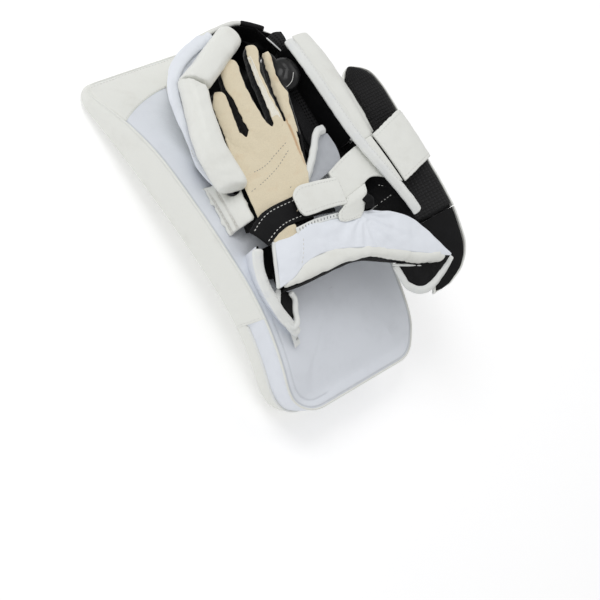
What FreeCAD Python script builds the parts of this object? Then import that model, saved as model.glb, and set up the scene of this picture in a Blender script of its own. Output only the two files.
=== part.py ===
"""Ice hockey goalie blocker, right hand, lying on its board with the palm side up.

Millimetres.  While it is modelled, X runs across the board towards the thumb, Y along the
board towards the fingertips and Z up from the floor.  At the end everything is moved so that
the origin is the bottom centre of the whole blocker.
"""
import FreeCAD, Part
import math
import os
from FreeCAD import Placement, Rotation, Vector

os.makedirs("parts", exist_ok=True)

# ---------------------------------------------------------------- driving dimensions: board
BOARD_WIDTH = 190.0
TIP_Y = 182.0               # fingertip end of the board
HEEL_Y = -173.0             # wrist end of the front face
HEEL_LEAN = 16.0            # the wrist end leans out by this much at the back face
CROWN_Y = -57.0             # where the arch is highest
CROWN_RISE = 31.0           # height of the arch under the front face
BOARD_THICKNESS = 40.0
TAPER_START_Y = 60.0        # from here the board thins towards the fingertips
TIP_THICKNESS = 9.0
TIP_CORNER = 20.0           # corner radii in plan
HEEL_CORNER = 34.0
FACE_SKIN = 1.6
STIFFENER = 1.5
BACK_SKIN = 1.2
WALL_SKIN = 1.6
FRONT_FOAM_SHARE = 0.35     # share of the foam that lies in front of the stiffener
LEATHER_END_Y = -84.0       # the leather side panel stops here and nylon goes on
TOP_PANEL_Y = 149.0         # leather panel at the fingertip end of the back face
TOP_PANEL_RADIUS = 216.0
SEAM_RISE = 1.2             # the seam round the back face stands up by this much
PIPING = 2.2
FLOOR_PAD = 4.0             # liner pads that lie on the back face
BOARD_STEPS = 14            # flat runs along the arch

# ---------------------------------------------------------------- driving dimensions: glove
CLEAR = 0.3                 # between pieces of different bodies
GLOVE_ORIGIN = Vector(-32.0, -3.0, 105.0)   # middle of the palm's heel
GLOVE_TURN = 22.0           # fingers point this far towards the thumb side
GLOVE_TILT = 22.0           # the index side of the palm stands higher
GLOVE_DROP = 2.0            # fingertips lie this much lower
PALM_LEATHER = 2.2
HAND_SPACE = 18.0           # room for a hand between palm and backhand pad
BACKHAND_PAD = 5.0
STALL_HEIGHT = 15.0
STALL_WALL = 2.0
STALL_FACE = 4.0            # depth of the palm-side face of a stall
STALL_BACK = 4.5            # depth of its padded back
STALL_BEVEL = 2.6
STALL_TIP_DROP = 3.0        # a stall gets this much lower, above and below, at its tip

# name, knuckle, and (place along the finger, left side, right side) in the glove's own plane
FINGERS = (
    ("pinky", 62.0, ((62, -38.9, -20.9), (93, -39, -23.5), (106, -38.8, -24), (113, -36, -27))),
    ("ring", 70.0, ((70, -18.2, 7.4), (92, -20, 3.6), (112, -22, -1), (125, -22.5, -4.5),
                    (133, -20, -9.5))),
    ("middle", 75.0, ((75, 9.6, 22.9), (106, 6.6, 21), (123, 4.8, 19.6), (148, 4.8, 18.6),
                      (157, 8, 15.5))),
    ("index", 76.0, ((76, 23.9, 37.2), (109, 22.5, 37), (140, 21.2, 37), (150, 24, 33.5))),
)

# ---------------------------------------------------------------- driving dimensions: guards
ROLL_WIDTH = 30.0
ROLL_HEIGHT = 27.0
ROLL_ROUND = 11.0
ROLL_END_BEVEL = 3.0
ROLL_Z = 92.0
ROLL_START = Vector(-74.0, 20.0, ROLL_Z)
ROLL_CREASE = Vector(-45.0, 125.0, ROLL_Z)
ROLL_END = Vector(33.0, 159.0, ROLL_Z)
SHELL_WALL = 3.0
LINING = 3.0
SHELL_STEPS = 18            # stations along the finger shell
PIPING_STEPS = 12
PIPING_SIDES = 8
RIBBON_STEPS = 7
RIDGE_Z = 124.0             # bound edge of the index guard
INDEX_EDGE_Z = 112.0        # its outer edge, over the thumb
INDEX_GUARD_THICKNESS = 9.0
GUARD_TIP_Y = 128.0         # fingertip end of the guard
GUARD_WRIST_Y = 14.0
GUARD_FOAM = 16.0
RIDGE_PATH = [(73.5, 95.0), (74.5, 73.0), (76.5, 37.0), (78.5, 16.0)]   # guard's inner wall
MESH_Z = 92.0
MESH_THICKNESS = 3.0
CROTCH_Z = 111.0            # panel between the palm and the thumb
DOME_DEPTH = 9.0
DOME_LENGTH = 30.0
THUMB_THICKNESS = 14.0
THUMB_MESH = 3.0
THUMB_SHELL = 3.0
THUMB_HINGE_Y = -84.0
THUMB_LEFT_Z = 100.0
THUMB_BASE_THICKNESS = 8.0
THUMB_RIGHT_Z = 118.0
STRAP_THICKNESS = 3.0
STRAP_Z = 121.0
STRAP_HINGE_X = 70.0
BAND_THICKNESS = 3.0
CUFF_THICKNESS = 2.5
EDGE_ROLL_THICKNESS = 8.0
LOOP_THICKNESS = 2.0        # sewn loops and flaps under the cuff's ends
KEEPER_THICKNESS = 2.0
WRIST_FLOOR_Z = 100.5       # floor of the gap between palm and thumb guard

HALF_WIDTH = BOARD_WIDTH / 2.0
SKINS = FACE_SKIN + STIFFENER + BACK_SKIN
nodes = {}


# ---------------------------------------------------------------- small shape helpers
def solid_of(shape):
    """The largest solid of a shape, turned the right way out."""
    largest = max(shape.Solids, key=lambda solid: abs(solid.Volume))
    return Part.makeSolid(largest.Shells[0])


def faceted(rings):
    """A closed solid through rings of points, with flat three-cornered facets between them.

    Opposite sides are split along the same diagonal, so that layers fit on each other.
    """
    faces = []
    count = len(rings[0])
    for near, far in zip(rings, rings[1:]):
        for index in range(count):
            after = (index + 1) % count
            if index < count / 2.0:
                first = (near[index], near[after], far[after])
                second = (near[index], far[after], far[index])
            else:
                first = (near[index], near[after], far[index])
                second = (near[after], far[after], far[index])
            for corners in (first, second):
                faces.append(Part.Face(Part.makePolygon(list(corners) + [corners[0]])))
    for ring in (rings[0], rings[-1]):
        faces.append(Part.Face(Part.makePolygon(list(ring) + [ring[0]])))
    shell = Part.makeShell(faces)
    shell.sewShape()
    return solid_of(Part.makeSolid(shell))


def smooth_line(points, steps):
    """Evenly spaced points along a smooth curve through the given ones."""
    if len(points) == 2:
        return Part.makeLine(points[0], points[1]).discretize(steps)
    spline = Part.BSplineCurve()
    spline.interpolate(points)
    return spline.toShape().discretize(steps)


def ribbon(edge_a, edge_b, push, steps=RIBBON_STEPS):
    """A flap between two edges, given its thickness by pushing it along a vector."""
    rings = []
    for a, b in zip(smooth_line(edge_a, steps), smooth_line(edge_b, steps)):
        rings.append([a, b, b + push, a + push])
    return faceted(rings)


def prism(outline, low, high):
    """An outline of points in plan, extruded from low to high."""
    points = [Vector(x, y, low) for x, y in outline]
    face = Part.Face(Part.makePolygon(points + [points[0]]))
    return face.extrude(Vector(0, 0, high - low))


def piping(points, radius, steps=PIPING_STEPS):
    """A round bound edge that follows a path."""
    line = smooth_line(points, steps)
    rings = []
    for index, here in enumerate(line):
        along = (line[min(index + 1, steps - 1)] - line[max(index - 1, 0)]).normalize()
        side = along.cross(Vector(0, 0, 1)).normalize()
        rise = side.cross(along)
        angles = [2.0 * math.pi * step / PIPING_SIDES for step in range(PIPING_SIDES)]
        rings.append([here + side * (radius * math.cos(angle)) + rise * (radius * math.sin(angle))
                      for angle in angles])
    return faceted(rings)


def wall(stations, thickness, inner=0.0):
    """An upright wall through (x, y, low, high) stations; it grows to the right of its path."""
    rings = []
    last = len(stations) - 1
    for index, (x, y, low, high) in enumerate(stations):
        before = stations[max(index - 1, 0)]
        after = stations[min(index + 1, last)]
        along = Vector(after[0] - before[0], after[1] - before[1], 0).normalize()
        side = Vector(along.y, -along.x, 0)
        near = Vector(x, y, 0) + side * inner
        far = near + side * thickness
        rings.append([near + Vector(0, 0, low), far + Vector(0, 0, low),
                      far + Vector(0, 0, high), near + Vector(0, 0, high)])
    return faceted(rings)


def slab(stations, top, bottom, inset=0.0):
    """A padded slab through (y, left x, left z, right x, right z) stations."""
    rings = []
    for y, left_x, left_z, right_x, right_z in stations:
        left = Vector(left_x, y, left_z)
        right = Vector(right_x, y, right_z)
        across = (right - left).normalize()
        normal = Vector(-across.z, 0, across.x)
        left = left + across * inset
        right = right - across * inset
        rings.append([left + normal * bottom, right + normal * bottom,
                      right + normal * top, left + normal * top])
    return faceted(rings)


def padded_bar(start, end, width, height, rounding):
    """A foam bar with rounded long edges, from start to end."""
    length = (end - start).Length
    bar = Part.makeBox(width, length, height, Vector(-width / 2.0, 0, -height / 2.0))
    bar = bar.makeFillet(rounding, [e for e in bar.Edges if e.Length > length - 0.1])
    ends = [e for e in bar.Edges if e.BoundBox.YLength < 0.1]
    bar = bar.makeChamfer(ROLL_END_BEVEL, ends)
    turn = math.degrees(math.atan2(end.y - start.y, end.x - start.x)) - 90.0
    bar.Placement = Placement(start, Rotation(Vector(0, 0, 1), turn))
    return bar


def half_space(point, normal, size=400.0):
    """A large block on the side of the plane that the normal points to."""
    block = Part.makeBox(size, size, size, Vector(-size / 2.0, -size / 2.0, 0))
    block.Placement = Placement(point, Rotation(Vector(0, 0, 1), normal))
    return block


def glove_frame():
    turn = Rotation(Vector(0, 0, 1), -GLOVE_TURN)
    drop = Rotation(Vector(1, 0, 0), -GLOVE_DROP)
    tilt = Rotation(Vector(0, 1, 0), -GLOVE_TILT)
    return Placement(GLOVE_ORIGIN, turn.multiply(drop).multiply(tilt))


def in_glove(shape):
    """Move a shape from the glove's own plane to its place on the board."""
    shape.Placement = glove_frame().multiply(shape.Placement)
    return shape


# ---------------------------------------------------------------- the board's arch
def front_z(y):
    """Front face: an arch that meets the floor at both ends."""
    if y < CROWN_Y:
        share = (CROWN_Y - y) / (CROWN_Y - HEEL_Y)
        return CROWN_RISE * (1.0 - share ** 2.0)
    share = (y - CROWN_Y) / (TIP_Y - CROWN_Y)
    return CROWN_RISE * (1.0 - share ** 1.6)


def thickness(y):
    if y < TAPER_START_Y:
        return BOARD_THICKNESS
    share = (y - TAPER_START_Y) / (TIP_Y - TAPER_START_Y)
    return BOARD_THICKNESS - (BOARD_THICKNESS - TIP_THICKNESS) * share ** 2.0


def back_z(y):
    return front_z(y) + thickness(y)


def level_line(skins, share, lift=0.0, steps=BOARD_STEPS):
    """A line along the board that has these skins and this share of the foam under it."""
    height = skins + share * (BOARD_THICKNESS - SKINS)
    heel = HEEL_Y - HEEL_LEAN * height / BOARD_THICKNESS
    points = []
    for step in range(steps + 1):
        y = heel + (TIP_Y - heel) * step / steps
        z = front_z(y) + skins + share * (thickness(y) - SKINS) + lift
        points.append(Vector(-HALF_WIDTH - 10.0, y, z))
    return points


def layer(low, high):
    """A full-width layer of the board between two level lines."""
    face = Part.Face(Part.makePolygon(low + high[::-1] + [low[0]]))
    return face.extrude(Vector(BOARD_WIDTH + 20.0, 0, 0))


def board_outline(inset):
    """The board in plan, as a tall block with round corners."""
    low_y = HEEL_Y - HEEL_LEAN + inset
    block = Part.makeBox(BOARD_WIDTH - 2.0 * inset, TIP_Y - inset - low_y, 120.0,
                         Vector(-HALF_WIDTH + inset, low_y, -20.0))
    heel_edges = [e for e in block.Edges if e.Length > 119.0 and e.BoundBox.YMax < 0]
    block = block.makeFillet(HEEL_CORNER - inset, heel_edges)
    tip_edges = [e for e in block.Edges if e.Length > 119.0 and abs(e.BoundBox.XMax) > 1
                 and e.BoundBox.YMin > TIP_Y - inset - 0.1]
    return block.makeFillet(TIP_CORNER - inset, tip_edges)


def below_board(lift=0.0):
    """Everything under the back face, used to seat pieces on it."""
    top = level_line(SKINS, 1.0, lift)
    corners = [top[-1] + Vector(0, 40.0, 0), top[-1] + Vector(0, 40.0, -150.0),
               top[0] + Vector(0, -40.0, -150.0), top[0] + Vector(0, -40.0, 0)]
    face = Part.Face(Part.makePolygon(top + corners + [top[0]]))
    return face.extrude(Vector(BOARD_WIDTH + 120.0, 0, 0))


def make_board():
    outer = board_outline(0.0)
    inner = board_outline(WALL_SKIN)
    bottom = level_line(0.0, 0.0)
    face_top = level_line(FACE_SKIN, 0.0)
    split_low = level_line(FACE_SKIN, FRONT_FOAM_SHARE)
    split_high = level_line(FACE_SKIN + STIFFENER, FRONT_FOAM_SHARE)
    foam_top = level_line(FACE_SKIN + STIFFENER, 1.0)
    top = level_line(SKINS, 1.0)

    nodes["board_front_face"] = layer(bottom, face_top).common(outer)
    nodes["board_front_foam"] = layer(face_top, split_low).common(inner)
    nodes["board_stiffener"] = layer(split_low, split_high).common(inner)
    nodes["board_back_foam"] = layer(split_high, foam_top).common(inner)

    sides = layer(face_top, foam_top).common(outer).cut(inner)
    leather_side = half_space(Vector(0, LEATHER_END_Y, 0), Vector(0, 1, 0))
    nodes["side_wall_leather"] = sides.common(leather_side)
    nodes["side_wall_nylon"] = sides.cut(leather_side)

    back = layer(foam_top, top).common(outer)
    bowl = Part.makeCylinder(TOP_PANEL_RADIUS, 200.0,
                             Vector(0, TOP_PANEL_Y - TOP_PANEL_RADIUS, -50.0))
    tip_end = half_space(Vector(0, 60.0, 0), Vector(0, 1, 0))
    nodes["board_back_cover"] = back.common(bowl.fuse(half_space(Vector(0, 60.0, 0), Vector(0, -1, 0))))
    nodes["board_top_panel"] = back.common(tip_end).cut(bowl)

    rim = board_outline(0.0).cut(board_outline(PIPING))
    nodes["back_seam_piping"] = layer(top, level_line(SKINS, 1.0, SEAM_RISE)).common(rim)


def liner_pad(outline, low_lift, high_lift):
    """A pad that follows the board's back face."""
    low = level_line(SKINS, 1.0, low_lift)
    high = level_line(SKINS, 1.0, high_lift)
    return layer(low, high).common(prism(outline, -20.0, 150.0))


def make_board_fittings():
    nodes["finger_box_floor"] = liner_pad(
        [(-26, 66), (-22, 118), (-10, 130), (28, 150), (62, 160), (78, 130), (72, 66)],
        0.0, FLOOR_PAD)
    nodes["hand_fastener_strip"] = liner_pad([(-10, -18), (46, -18), (46, 56), (-10, 56)], 0.0, 1.5)
    nodes["cuff_back_pad"] = liner_pad(
        [(-62, -72), (58, -82), (66, -60), (60, -34), (-60, -34)], 0.0, FLOOR_PAD)


# ---------------------------------------------------------------- palm and hand space
def make_palm():
    steps = [(-27, -20), (4, -20), (22, -8), (32, 22), (37, 60)]
    for _name, knuckle, sides in reversed(FINGERS):
        _place, left, right = sides[0]
        steps.append((right, knuckle - CLEAR))
        steps.append((left, knuckle - CLEAR))
    steps += [(-33, 20)]
    palm = prism(steps, -PALM_LEATHER, 0.0)
    nodes["palm_leather"] = in_glove(palm)

    board = below_board()
    pad_top = -PALM_LEATHER - HAND_SPACE
    pad_outline = [(-34, -22), (32, -22), (37, 20), (37, 66), (-36, 66)]
    pad = in_glove(prism(pad_outline, pad_top - BACKHAND_PAD, pad_top)).cut(board)
    nodes["backhand_pad"] = solid_of(pad)
    fastener = nodes["hand_fastener_strip"]
    riser_outline = [(-4, -16), (32, -16), (36, 20), (36, 60), (-4, 60)]
    riser = in_glove(prism(riser_outline, -90.0, pad_top - BACKHAND_PAD)).cut(board).cut(fastener)
    riser = riser.cut(nodes["cuff_back_pad"])
    nodes["hand_riser"] = solid_of(riser)

    side_height = PALM_LEATHER + HAND_SPACE
    left_side = prism([(-38, 24), (-36, 24), (-38, 61), (-40, 61)], -side_height, -PALM_LEATHER)
    right_side = prism([(31, 26), (33, 26), (37, 60), (35, 60)], -side_height, -PALM_LEATHER)
    nodes["palm_side_gussets"] = Part.makeCompound([solid_of(in_glove(left_side).cut(board)),
                                                    in_glove(right_side)])


def stall_ring(place, left, right, bevel, shrink):
    """One round of a stall: a rectangle with bevelled corners."""
    low = -STALL_HEIGHT + shrink
    high = -shrink
    corners = [(left + bevel, high), (right - bevel, high), (right, high - bevel),
               (right, low + bevel), (right - bevel, low), (left + bevel, low),
               (left, low + bevel), (left, high - bevel)]
    return [Vector(v, place, w) for v, w in corners]


def stall(sides, wall_inset):
    """A finger's outer shape, or its hollow when it is stepped in by the wall."""
    first, *between, tip = sides
    bevel = STALL_BEVEL - wall_inset / 2.0
    start = first[0] - (1.0 if wall_inset else 0.0)
    rings = [stall_ring(start, first[1] + wall_inset, first[2] - wall_inset, bevel, wall_inset)]
    for place, left, right in between:
        rings.append(stall_ring(place, left + wall_inset, right - wall_inset, bevel, wall_inset))
    rings.append(stall_ring(tip[0] - wall_inset, tip[1] + wall_inset / 2.0,
                            tip[2] - wall_inset / 2.0, bevel, STALL_TIP_DROP + wall_inset / 2.0))
    return faceted(rings)


def make_finger(name, _knuckle, sides):
    """One stall in three sewn pieces: palm face, side gusset and padded back."""
    tube = stall(sides, 0.0).cut(stall(sides, STALL_WALL))
    face_slab = Part.makeBox(200, 400, STALL_FACE, Vector(-100, -100, -STALL_FACE))
    back_slab = Part.makeBox(200, 400, STALL_BACK, Vector(-100, -100, -STALL_HEIGHT))
    nodes[name + "_palm_face"] = in_glove(solid_of(tube.common(face_slab)))
    nodes[name + "_back_pad"] = in_glove(solid_of(tube.common(back_slab)))
    nodes[name + "_gusset"] = in_glove(solid_of(tube.cut(face_slab).cut(back_slab)))


# ---------------------------------------------------------------- finger box
# top edge x, y, z and how far its foot stands in from it, across and along the board
SHELL_PATH = [(-66, 60, 67, 4, 0), (-70, 98, 76, 28, 2), (-63, 132, 79, 34, -4),
              (-47, 151, 80, 26, -10), (-12, 166, 80, 10, -8), (34, 173, 79, 0, -2),
              (66, 172, 79, 0, 0), (82, 161, 83, 0, 0), (88, 147, 92, 0, 0), (86, 134, 106, 0, 0)]


def flared_wall(path, thickness, inner):
    """A wall whose foot on the board stands in from its top edge."""
    tops = smooth_line([Vector(x, y, top) for x, y, top, _foot_x, _foot_y in path], SHELL_STEPS)
    feet = smooth_line([Vector(x + foot_x, y + foot_y, back_z(y + foot_y) - 2.0 * LINING)
                        for x, y, _top, foot_x, foot_y in path], SHELL_STEPS)
    rings = []
    for index, (edge, foot) in enumerate(zip(tops, feet)):
        along = tops[min(index + 1, SHELL_STEPS - 1)] - tops[max(index - 1, 0)]
        side = Vector(along.y, -along.x, 0).normalize()
        near = side * inner
        far = side * (inner + thickness)
        rings.append([foot + near, foot + far, edge + far, edge + near])
    return faceted(rings)


def make_finger_box():
    board = below_board()
    edge = [Vector(x, y, top + PIPING / 2.0) for x, y, top, _foot_x, _foot_y in SHELL_PATH]
    binding = piping(edge, PIPING, SHELL_STEPS)
    nodes["finger_shell_binding"] = binding
    shell = flared_wall(SHELL_PATH, SHELL_WALL, 0.0).cut(board)
    nodes["finger_shell"] = solid_of(shell.cut(binding))
    lining = flared_wall(SHELL_PATH, LINING, SHELL_WALL).cut(board)
    nodes["finger_shell_lining"] = solid_of(lining.cut(binding))

    lower_way = (ROLL_CREASE - ROLL_START).normalize()
    upper_way = (ROLL_END - ROLL_CREASE).normalize()
    mitre = (lower_way + upper_way).normalize()
    overrun = ROLL_WIDTH
    lower = padded_bar(ROLL_START, ROLL_CREASE + lower_way * overrun,
                       ROLL_WIDTH, ROLL_HEIGHT, ROLL_ROUND)
    upper = padded_bar(ROLL_CREASE - upper_way * overrun, ROLL_END,
                       ROLL_WIDTH, ROLL_HEIGHT, ROLL_ROUND)
    nodes["finger_roll_lower"] = solid_of(lower.cut(half_space(ROLL_CREASE, mitre)))
    nodes["finger_roll_upper"] = solid_of(upper.cut(half_space(ROLL_CREASE, mitre * -1.0)))

    rolls = nodes["finger_roll_lower"].fuse(nodes["finger_roll_upper"])
    lower_base = wall([(-66, 56, 0, 85), (-62, 66, 0, 85), (-59, 98, 0, 85), (-50, 119, 0, 85)],
                      11.0).cut(board).cut(rolls)
    upper_base = wall([(-44, 127, 0, 85), (-8, 147, 0, 85), (24, 161, 0, 85)], 11.0)
    upper_base = upper_base.cut(board).cut(rolls).cut(nodes["finger_box_floor"])
    pieces = [solid_of(base.cut(lining).cut(shell).cut(binding))
              for base in (lower_base, upper_base)]
    nodes["finger_box_foam"] = Part.makeCompound(pieces)


def make_index_guard():
    board = below_board().fuse(nodes["back_seam_piping"])
    guard = [(GUARD_TIP_Y, 71, RIDGE_Z - 6, 86, INDEX_EDGE_Z),
             (112, 70, RIDGE_Z - 2, 102, INDEX_EDGE_Z), (95, 70, RIDGE_Z, 118, INDEX_EDGE_Z),
             (73, 71, RIDGE_Z, 122, INDEX_EDGE_Z), (37, 74, RIDGE_Z, 122, INDEX_EDGE_Z),
             (GUARD_WRIST_Y, 76, RIDGE_Z, 121, INDEX_EDGE_Z)]
    plate = slab(guard, 0.0, -INDEX_GUARD_THICKNESS)
    nodes["index_guard"] = plate
    inner_path = [(74.5, GUARD_TIP_Y - 2.0)] + RIDGE_PATH
    lining_path = [(x - 0.5, y, MESH_Z, RIDGE_Z) for x, y in inner_path]
    nodes["index_lining"] = solid_of(wall(lining_path, LINING).cut(plate))
    foam = wall([(x, y, 0, RIDGE_Z - 4) for x, y in reversed(inner_path)], GUARD_FOAM)
    foam = foam.cut(board).cut(plate).cut(nodes["finger_box_floor"]).cut(nodes["finger_shell_lining"])
    foam = solid_of(foam.cut(nodes["index_lining"]))
    side_x = HALF_WIDTH - SHELL_WALL
    side = wall([(side_x, y, 0, RIDGE_Z) for y in (GUARD_WRIST_Y, 60, GUARD_TIP_Y - 10.0)],
                SHELL_WALL)
    side = side.cut(board).cut(plate).cut(nodes["finger_shell_lining"]).cut(nodes["finger_shell"])
    nodes["index_guard_side"] = solid_of(side.cut(foam))

    mesh = [(62, 96), (69, 96), (70, 73), (72, 37), (74, 18), (44, 18), (41, 30)]
    nodes["index_mesh_floor"] = prism(mesh, MESH_Z, MESH_Z + MESH_THICKNESS)
    block = prism([(62, 95), (72, 95), (73, 70), (76, 20), (50, 20), (50, 40)], 0.0, MESH_Z)
    block = block.cut(board).cut(nodes["finger_box_floor"]).cut(foam)
    block = block.cut(nodes["hand_riser"]).cut(nodes["backhand_pad"]).cut(nodes["palm_side_gussets"])
    nodes["index_guard_foam"] = Part.makeCompound([foam, solid_of(block)])

    ridge = [Vector(69, GUARD_TIP_Y, RIDGE_Z - 4), Vector(67.5, 96, RIDGE_Z + 1.5), Vector(70, 62, RIDGE_Z + 2),
             Vector(74, 16, RIDGE_Z + 3), Vector(80, -12, RIDGE_Z + 4), Vector(92, -46, RIDGE_Z + 2),
             Vector(100, -70, RIDGE_Z - 1)]
    nodes["index_guard_binding"] = piping(ridge, PIPING)


def make_index_dome():
    """A stuffed leather cap on the thumb side of the index fingertip."""
    _place, _left, right = FINGERS[-1][2][-2]
    tip = FINGERS[-1][2][-1][0]
    half = DOME_LENGTH / 2.0
    radius = (half ** 2 + DOME_DEPTH ** 2) / (2.0 * DOME_DEPTH)
    ball = Part.makeSphere(radius, Vector(DOME_DEPTH - radius, 0, 0))
    dome = ball.common(Part.makeBox(50, 100, STALL_HEIGHT, Vector(0, -50, -STALL_HEIGHT / 2.0)))
    dome.translate(Vector(right, tip - DOME_LENGTH * 0.62, -STALL_HEIGHT / 2.0))
    nodes["index_tip_dome"] = in_glove(solid_of(dome))


# ---------------------------------------------------------------- thumb
THUMB_BODY = [(82, 134, THUMB_LEFT_Z + 4, 146, THUMB_LEFT_Z + 10), (74, 128, THUMB_LEFT_Z, 155, 115),
              (58, 126, THUMB_LEFT_Z, 159, THUMB_RIGHT_Z), (20, 126, THUMB_LEFT_Z, 160, THUMB_RIGHT_Z),
              (-16, 114, THUMB_LEFT_Z - 4, 161, THUMB_RIGHT_Z),
              (-58, 106, THUMB_LEFT_Z - 2, 161, THUMB_RIGHT_Z),
              (THUMB_HINGE_Y + CLEAR, 106, THUMB_LEFT_Z, 159, THUMB_RIGHT_Z)]
THUMB_BASE = [(THUMB_HINGE_Y - CLEAR, 106, THUMB_LEFT_Z, 159, THUMB_RIGHT_Z),
              (-122, 108, THUMB_LEFT_Z, 149, 114), (-140, 98, 98, 136, 108), (-149, 92, 96, 112, 101)]


def make_thumb():
    foam_bottom = -THUMB_THICKNESS + THUMB_SHELL
    nodes["thumb_mesh"] = slab(THUMB_BODY, 0.0, -THUMB_MESH, THUMB_SHELL)
    nodes["thumb_foam"] = slab(THUMB_BODY, -THUMB_MESH, foam_bottom, THUMB_SHELL)
    core = slab(THUMB_BODY, 5.0, foam_bottom, THUMB_SHELL)
    shell = slab(THUMB_BODY, 0.0, -THUMB_THICKNESS).cut(core)
    shell = shell.cut(nodes["thumb_foam"]).cut(nodes["thumb_mesh"])
    nodes["thumb_shell"] = solid_of(shell)
    nodes["thumb_base_lining"] = slab(THUMB_BASE, 0.0, -THUMB_MESH, THUMB_SHELL)
    base_core = slab(THUMB_BASE, 5.0, -THUMB_MESH, THUMB_SHELL)
    base = slab(THUMB_BASE, 0.0, -THUMB_BASE_THICKNESS).cut(base_core)
    nodes["thumb_base_shell"] = solid_of(base.cut(nodes["thumb_base_lining"]))

    near = [Vector(99, 11.5, 126), Vector(124, 18, 126.5), Vector(152, 24, 123), Vector(163.5, 22, 116)]
    far = [Vector(106, -43, 126), Vector(132, -37, 126.5), Vector(158, -31.5, 123),
           Vector(165, -31, 116)]
    band = ribbon(near, far, Vector(0, 0, -BAND_THICKNESS))
    nodes["thumb_band"] = solid_of(band.cut(nodes["thumb_shell"]))


# ---------------------------------------------------------------- wrist closure
WRIST_BAND_TOP = [Vector(-84, -20, 95), Vector(-66, -11, 99), Vector(-25, -9, 109),
                  Vector(10, -10, 116)]
WRIST_BAND_LOW = [Vector(-73, -40, 97), Vector(-54, -33, 103), Vector(-10, -36, 112.5),
                  Vector(6, -40, 116)]


def make_wrist():
    down = Vector(0, 0, -STRAP_THICKNESS)
    top_edge = [Vector(22, -4, STRAP_Z), Vector(46, 3, STRAP_Z + 1), Vector(STRAP_HINGE_X, 8, STRAP_Z)]
    low_edge = [Vector(14, -39, STRAP_Z), Vector(42, -33, STRAP_Z + 1),
                Vector(STRAP_HINGE_X, -25, STRAP_Z)]
    nodes["wrist_strap"] = ribbon(top_edge, low_edge, down)
    lift = Vector(0, 0, STRAP_THICKNESS)
    tab_top = [Vector(-27, -10, 113), Vector(2, -11, 119), Vector(24, -10, STRAP_Z + 0.5)]
    tab_low = [Vector(-27, -32, 114), Vector(-4, -37, 119), Vector(18, -39, STRAP_Z + 0.5)]
    nodes["strap_tab"] = ribbon(tab_top, tab_low, lift)
    keep_a = [Vector(28, -28, STRAP_Z + 1), Vector(34, -42, 125), Vector(28, -56, 126)]
    keep_b = [Vector(52, -26, STRAP_Z + 1), Vector(50, -38, 127), Vector(44, -52, 127)]
    nodes["strap_keeper"] = ribbon(keep_a, keep_b, Vector(0, 0, KEEPER_THICKNESS))
    nodes["strap_anchor"] = ribbon(
        [Vector(STRAP_HINGE_X + 2.0 * CLEAR, 8.5, STRAP_Z), Vector(97, 11.5, 124)],
        [Vector(STRAP_HINGE_X + 2.0 * CLEAR, -25.5, STRAP_Z), Vector(104, -42, 124)], down)

    gusset = prism([(74, 12), (79, 12), (99, -62), (104, -86), (112, -92), (98, -88), (62, -58),
                    (70, -20)], WRIST_FLOOR_Z, WRIST_FLOOR_Z + 2.0)
    gusset = solid_of(gusset.cut(nodes["thumb_base_lining"]).cut(nodes["thumb_base_shell"]))
    post = wall([(104, -66, 0, STRAP_Z), (97, -44, 0, STRAP_Z - 1.0), (86, -14, 0, STRAP_Z - 2.0),
                 (81, 10, 0, STRAP_Z - 2.4)], 2.5, -1.0)
    post = post.cut(below_board()).cut(nodes["back_seam_piping"])
    nodes["wrist_side_lining"] = Part.makeCompound([solid_of(post.cut(gusset)), gusset])

    band = ribbon(WRIST_BAND_TOP, WRIST_BAND_LOW, Vector(0, 0, BAND_THICKNESS - 1.0))
    nodes["wrist_band"] = solid_of(band.cut(nodes["palm_leather"]))

    quilt_top = [Vector(-54, 34, 87), Vector(-60, 8, 90), Vector(-66, -12, 93)]
    quilt_low = [Vector(-76, 40, 60), Vector(-78, 12, 64), Vector(-80, -14, 66)]
    quilt = ribbon(quilt_low, quilt_top, Vector(-5, 0, 1)).cut(below_board())
    quilt = quilt.cut(nodes["finger_box_foam"]).cut(nodes["wrist_band"])
    quilt = quilt.cut(nodes["finger_roll_lower"]).cut(nodes["backhand_pad"])
    nodes["anchor_pad"] = solid_of(quilt)

    crotch = prism([(-5, -1), (8, -6), (53, 4), (58, 34), (47, 40)], CROTCH_Z, CROTCH_Z + 2.0)
    nodes["thumb_crotch_panel"] = solid_of(crotch.cut(nodes["palm_leather"]))


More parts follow.
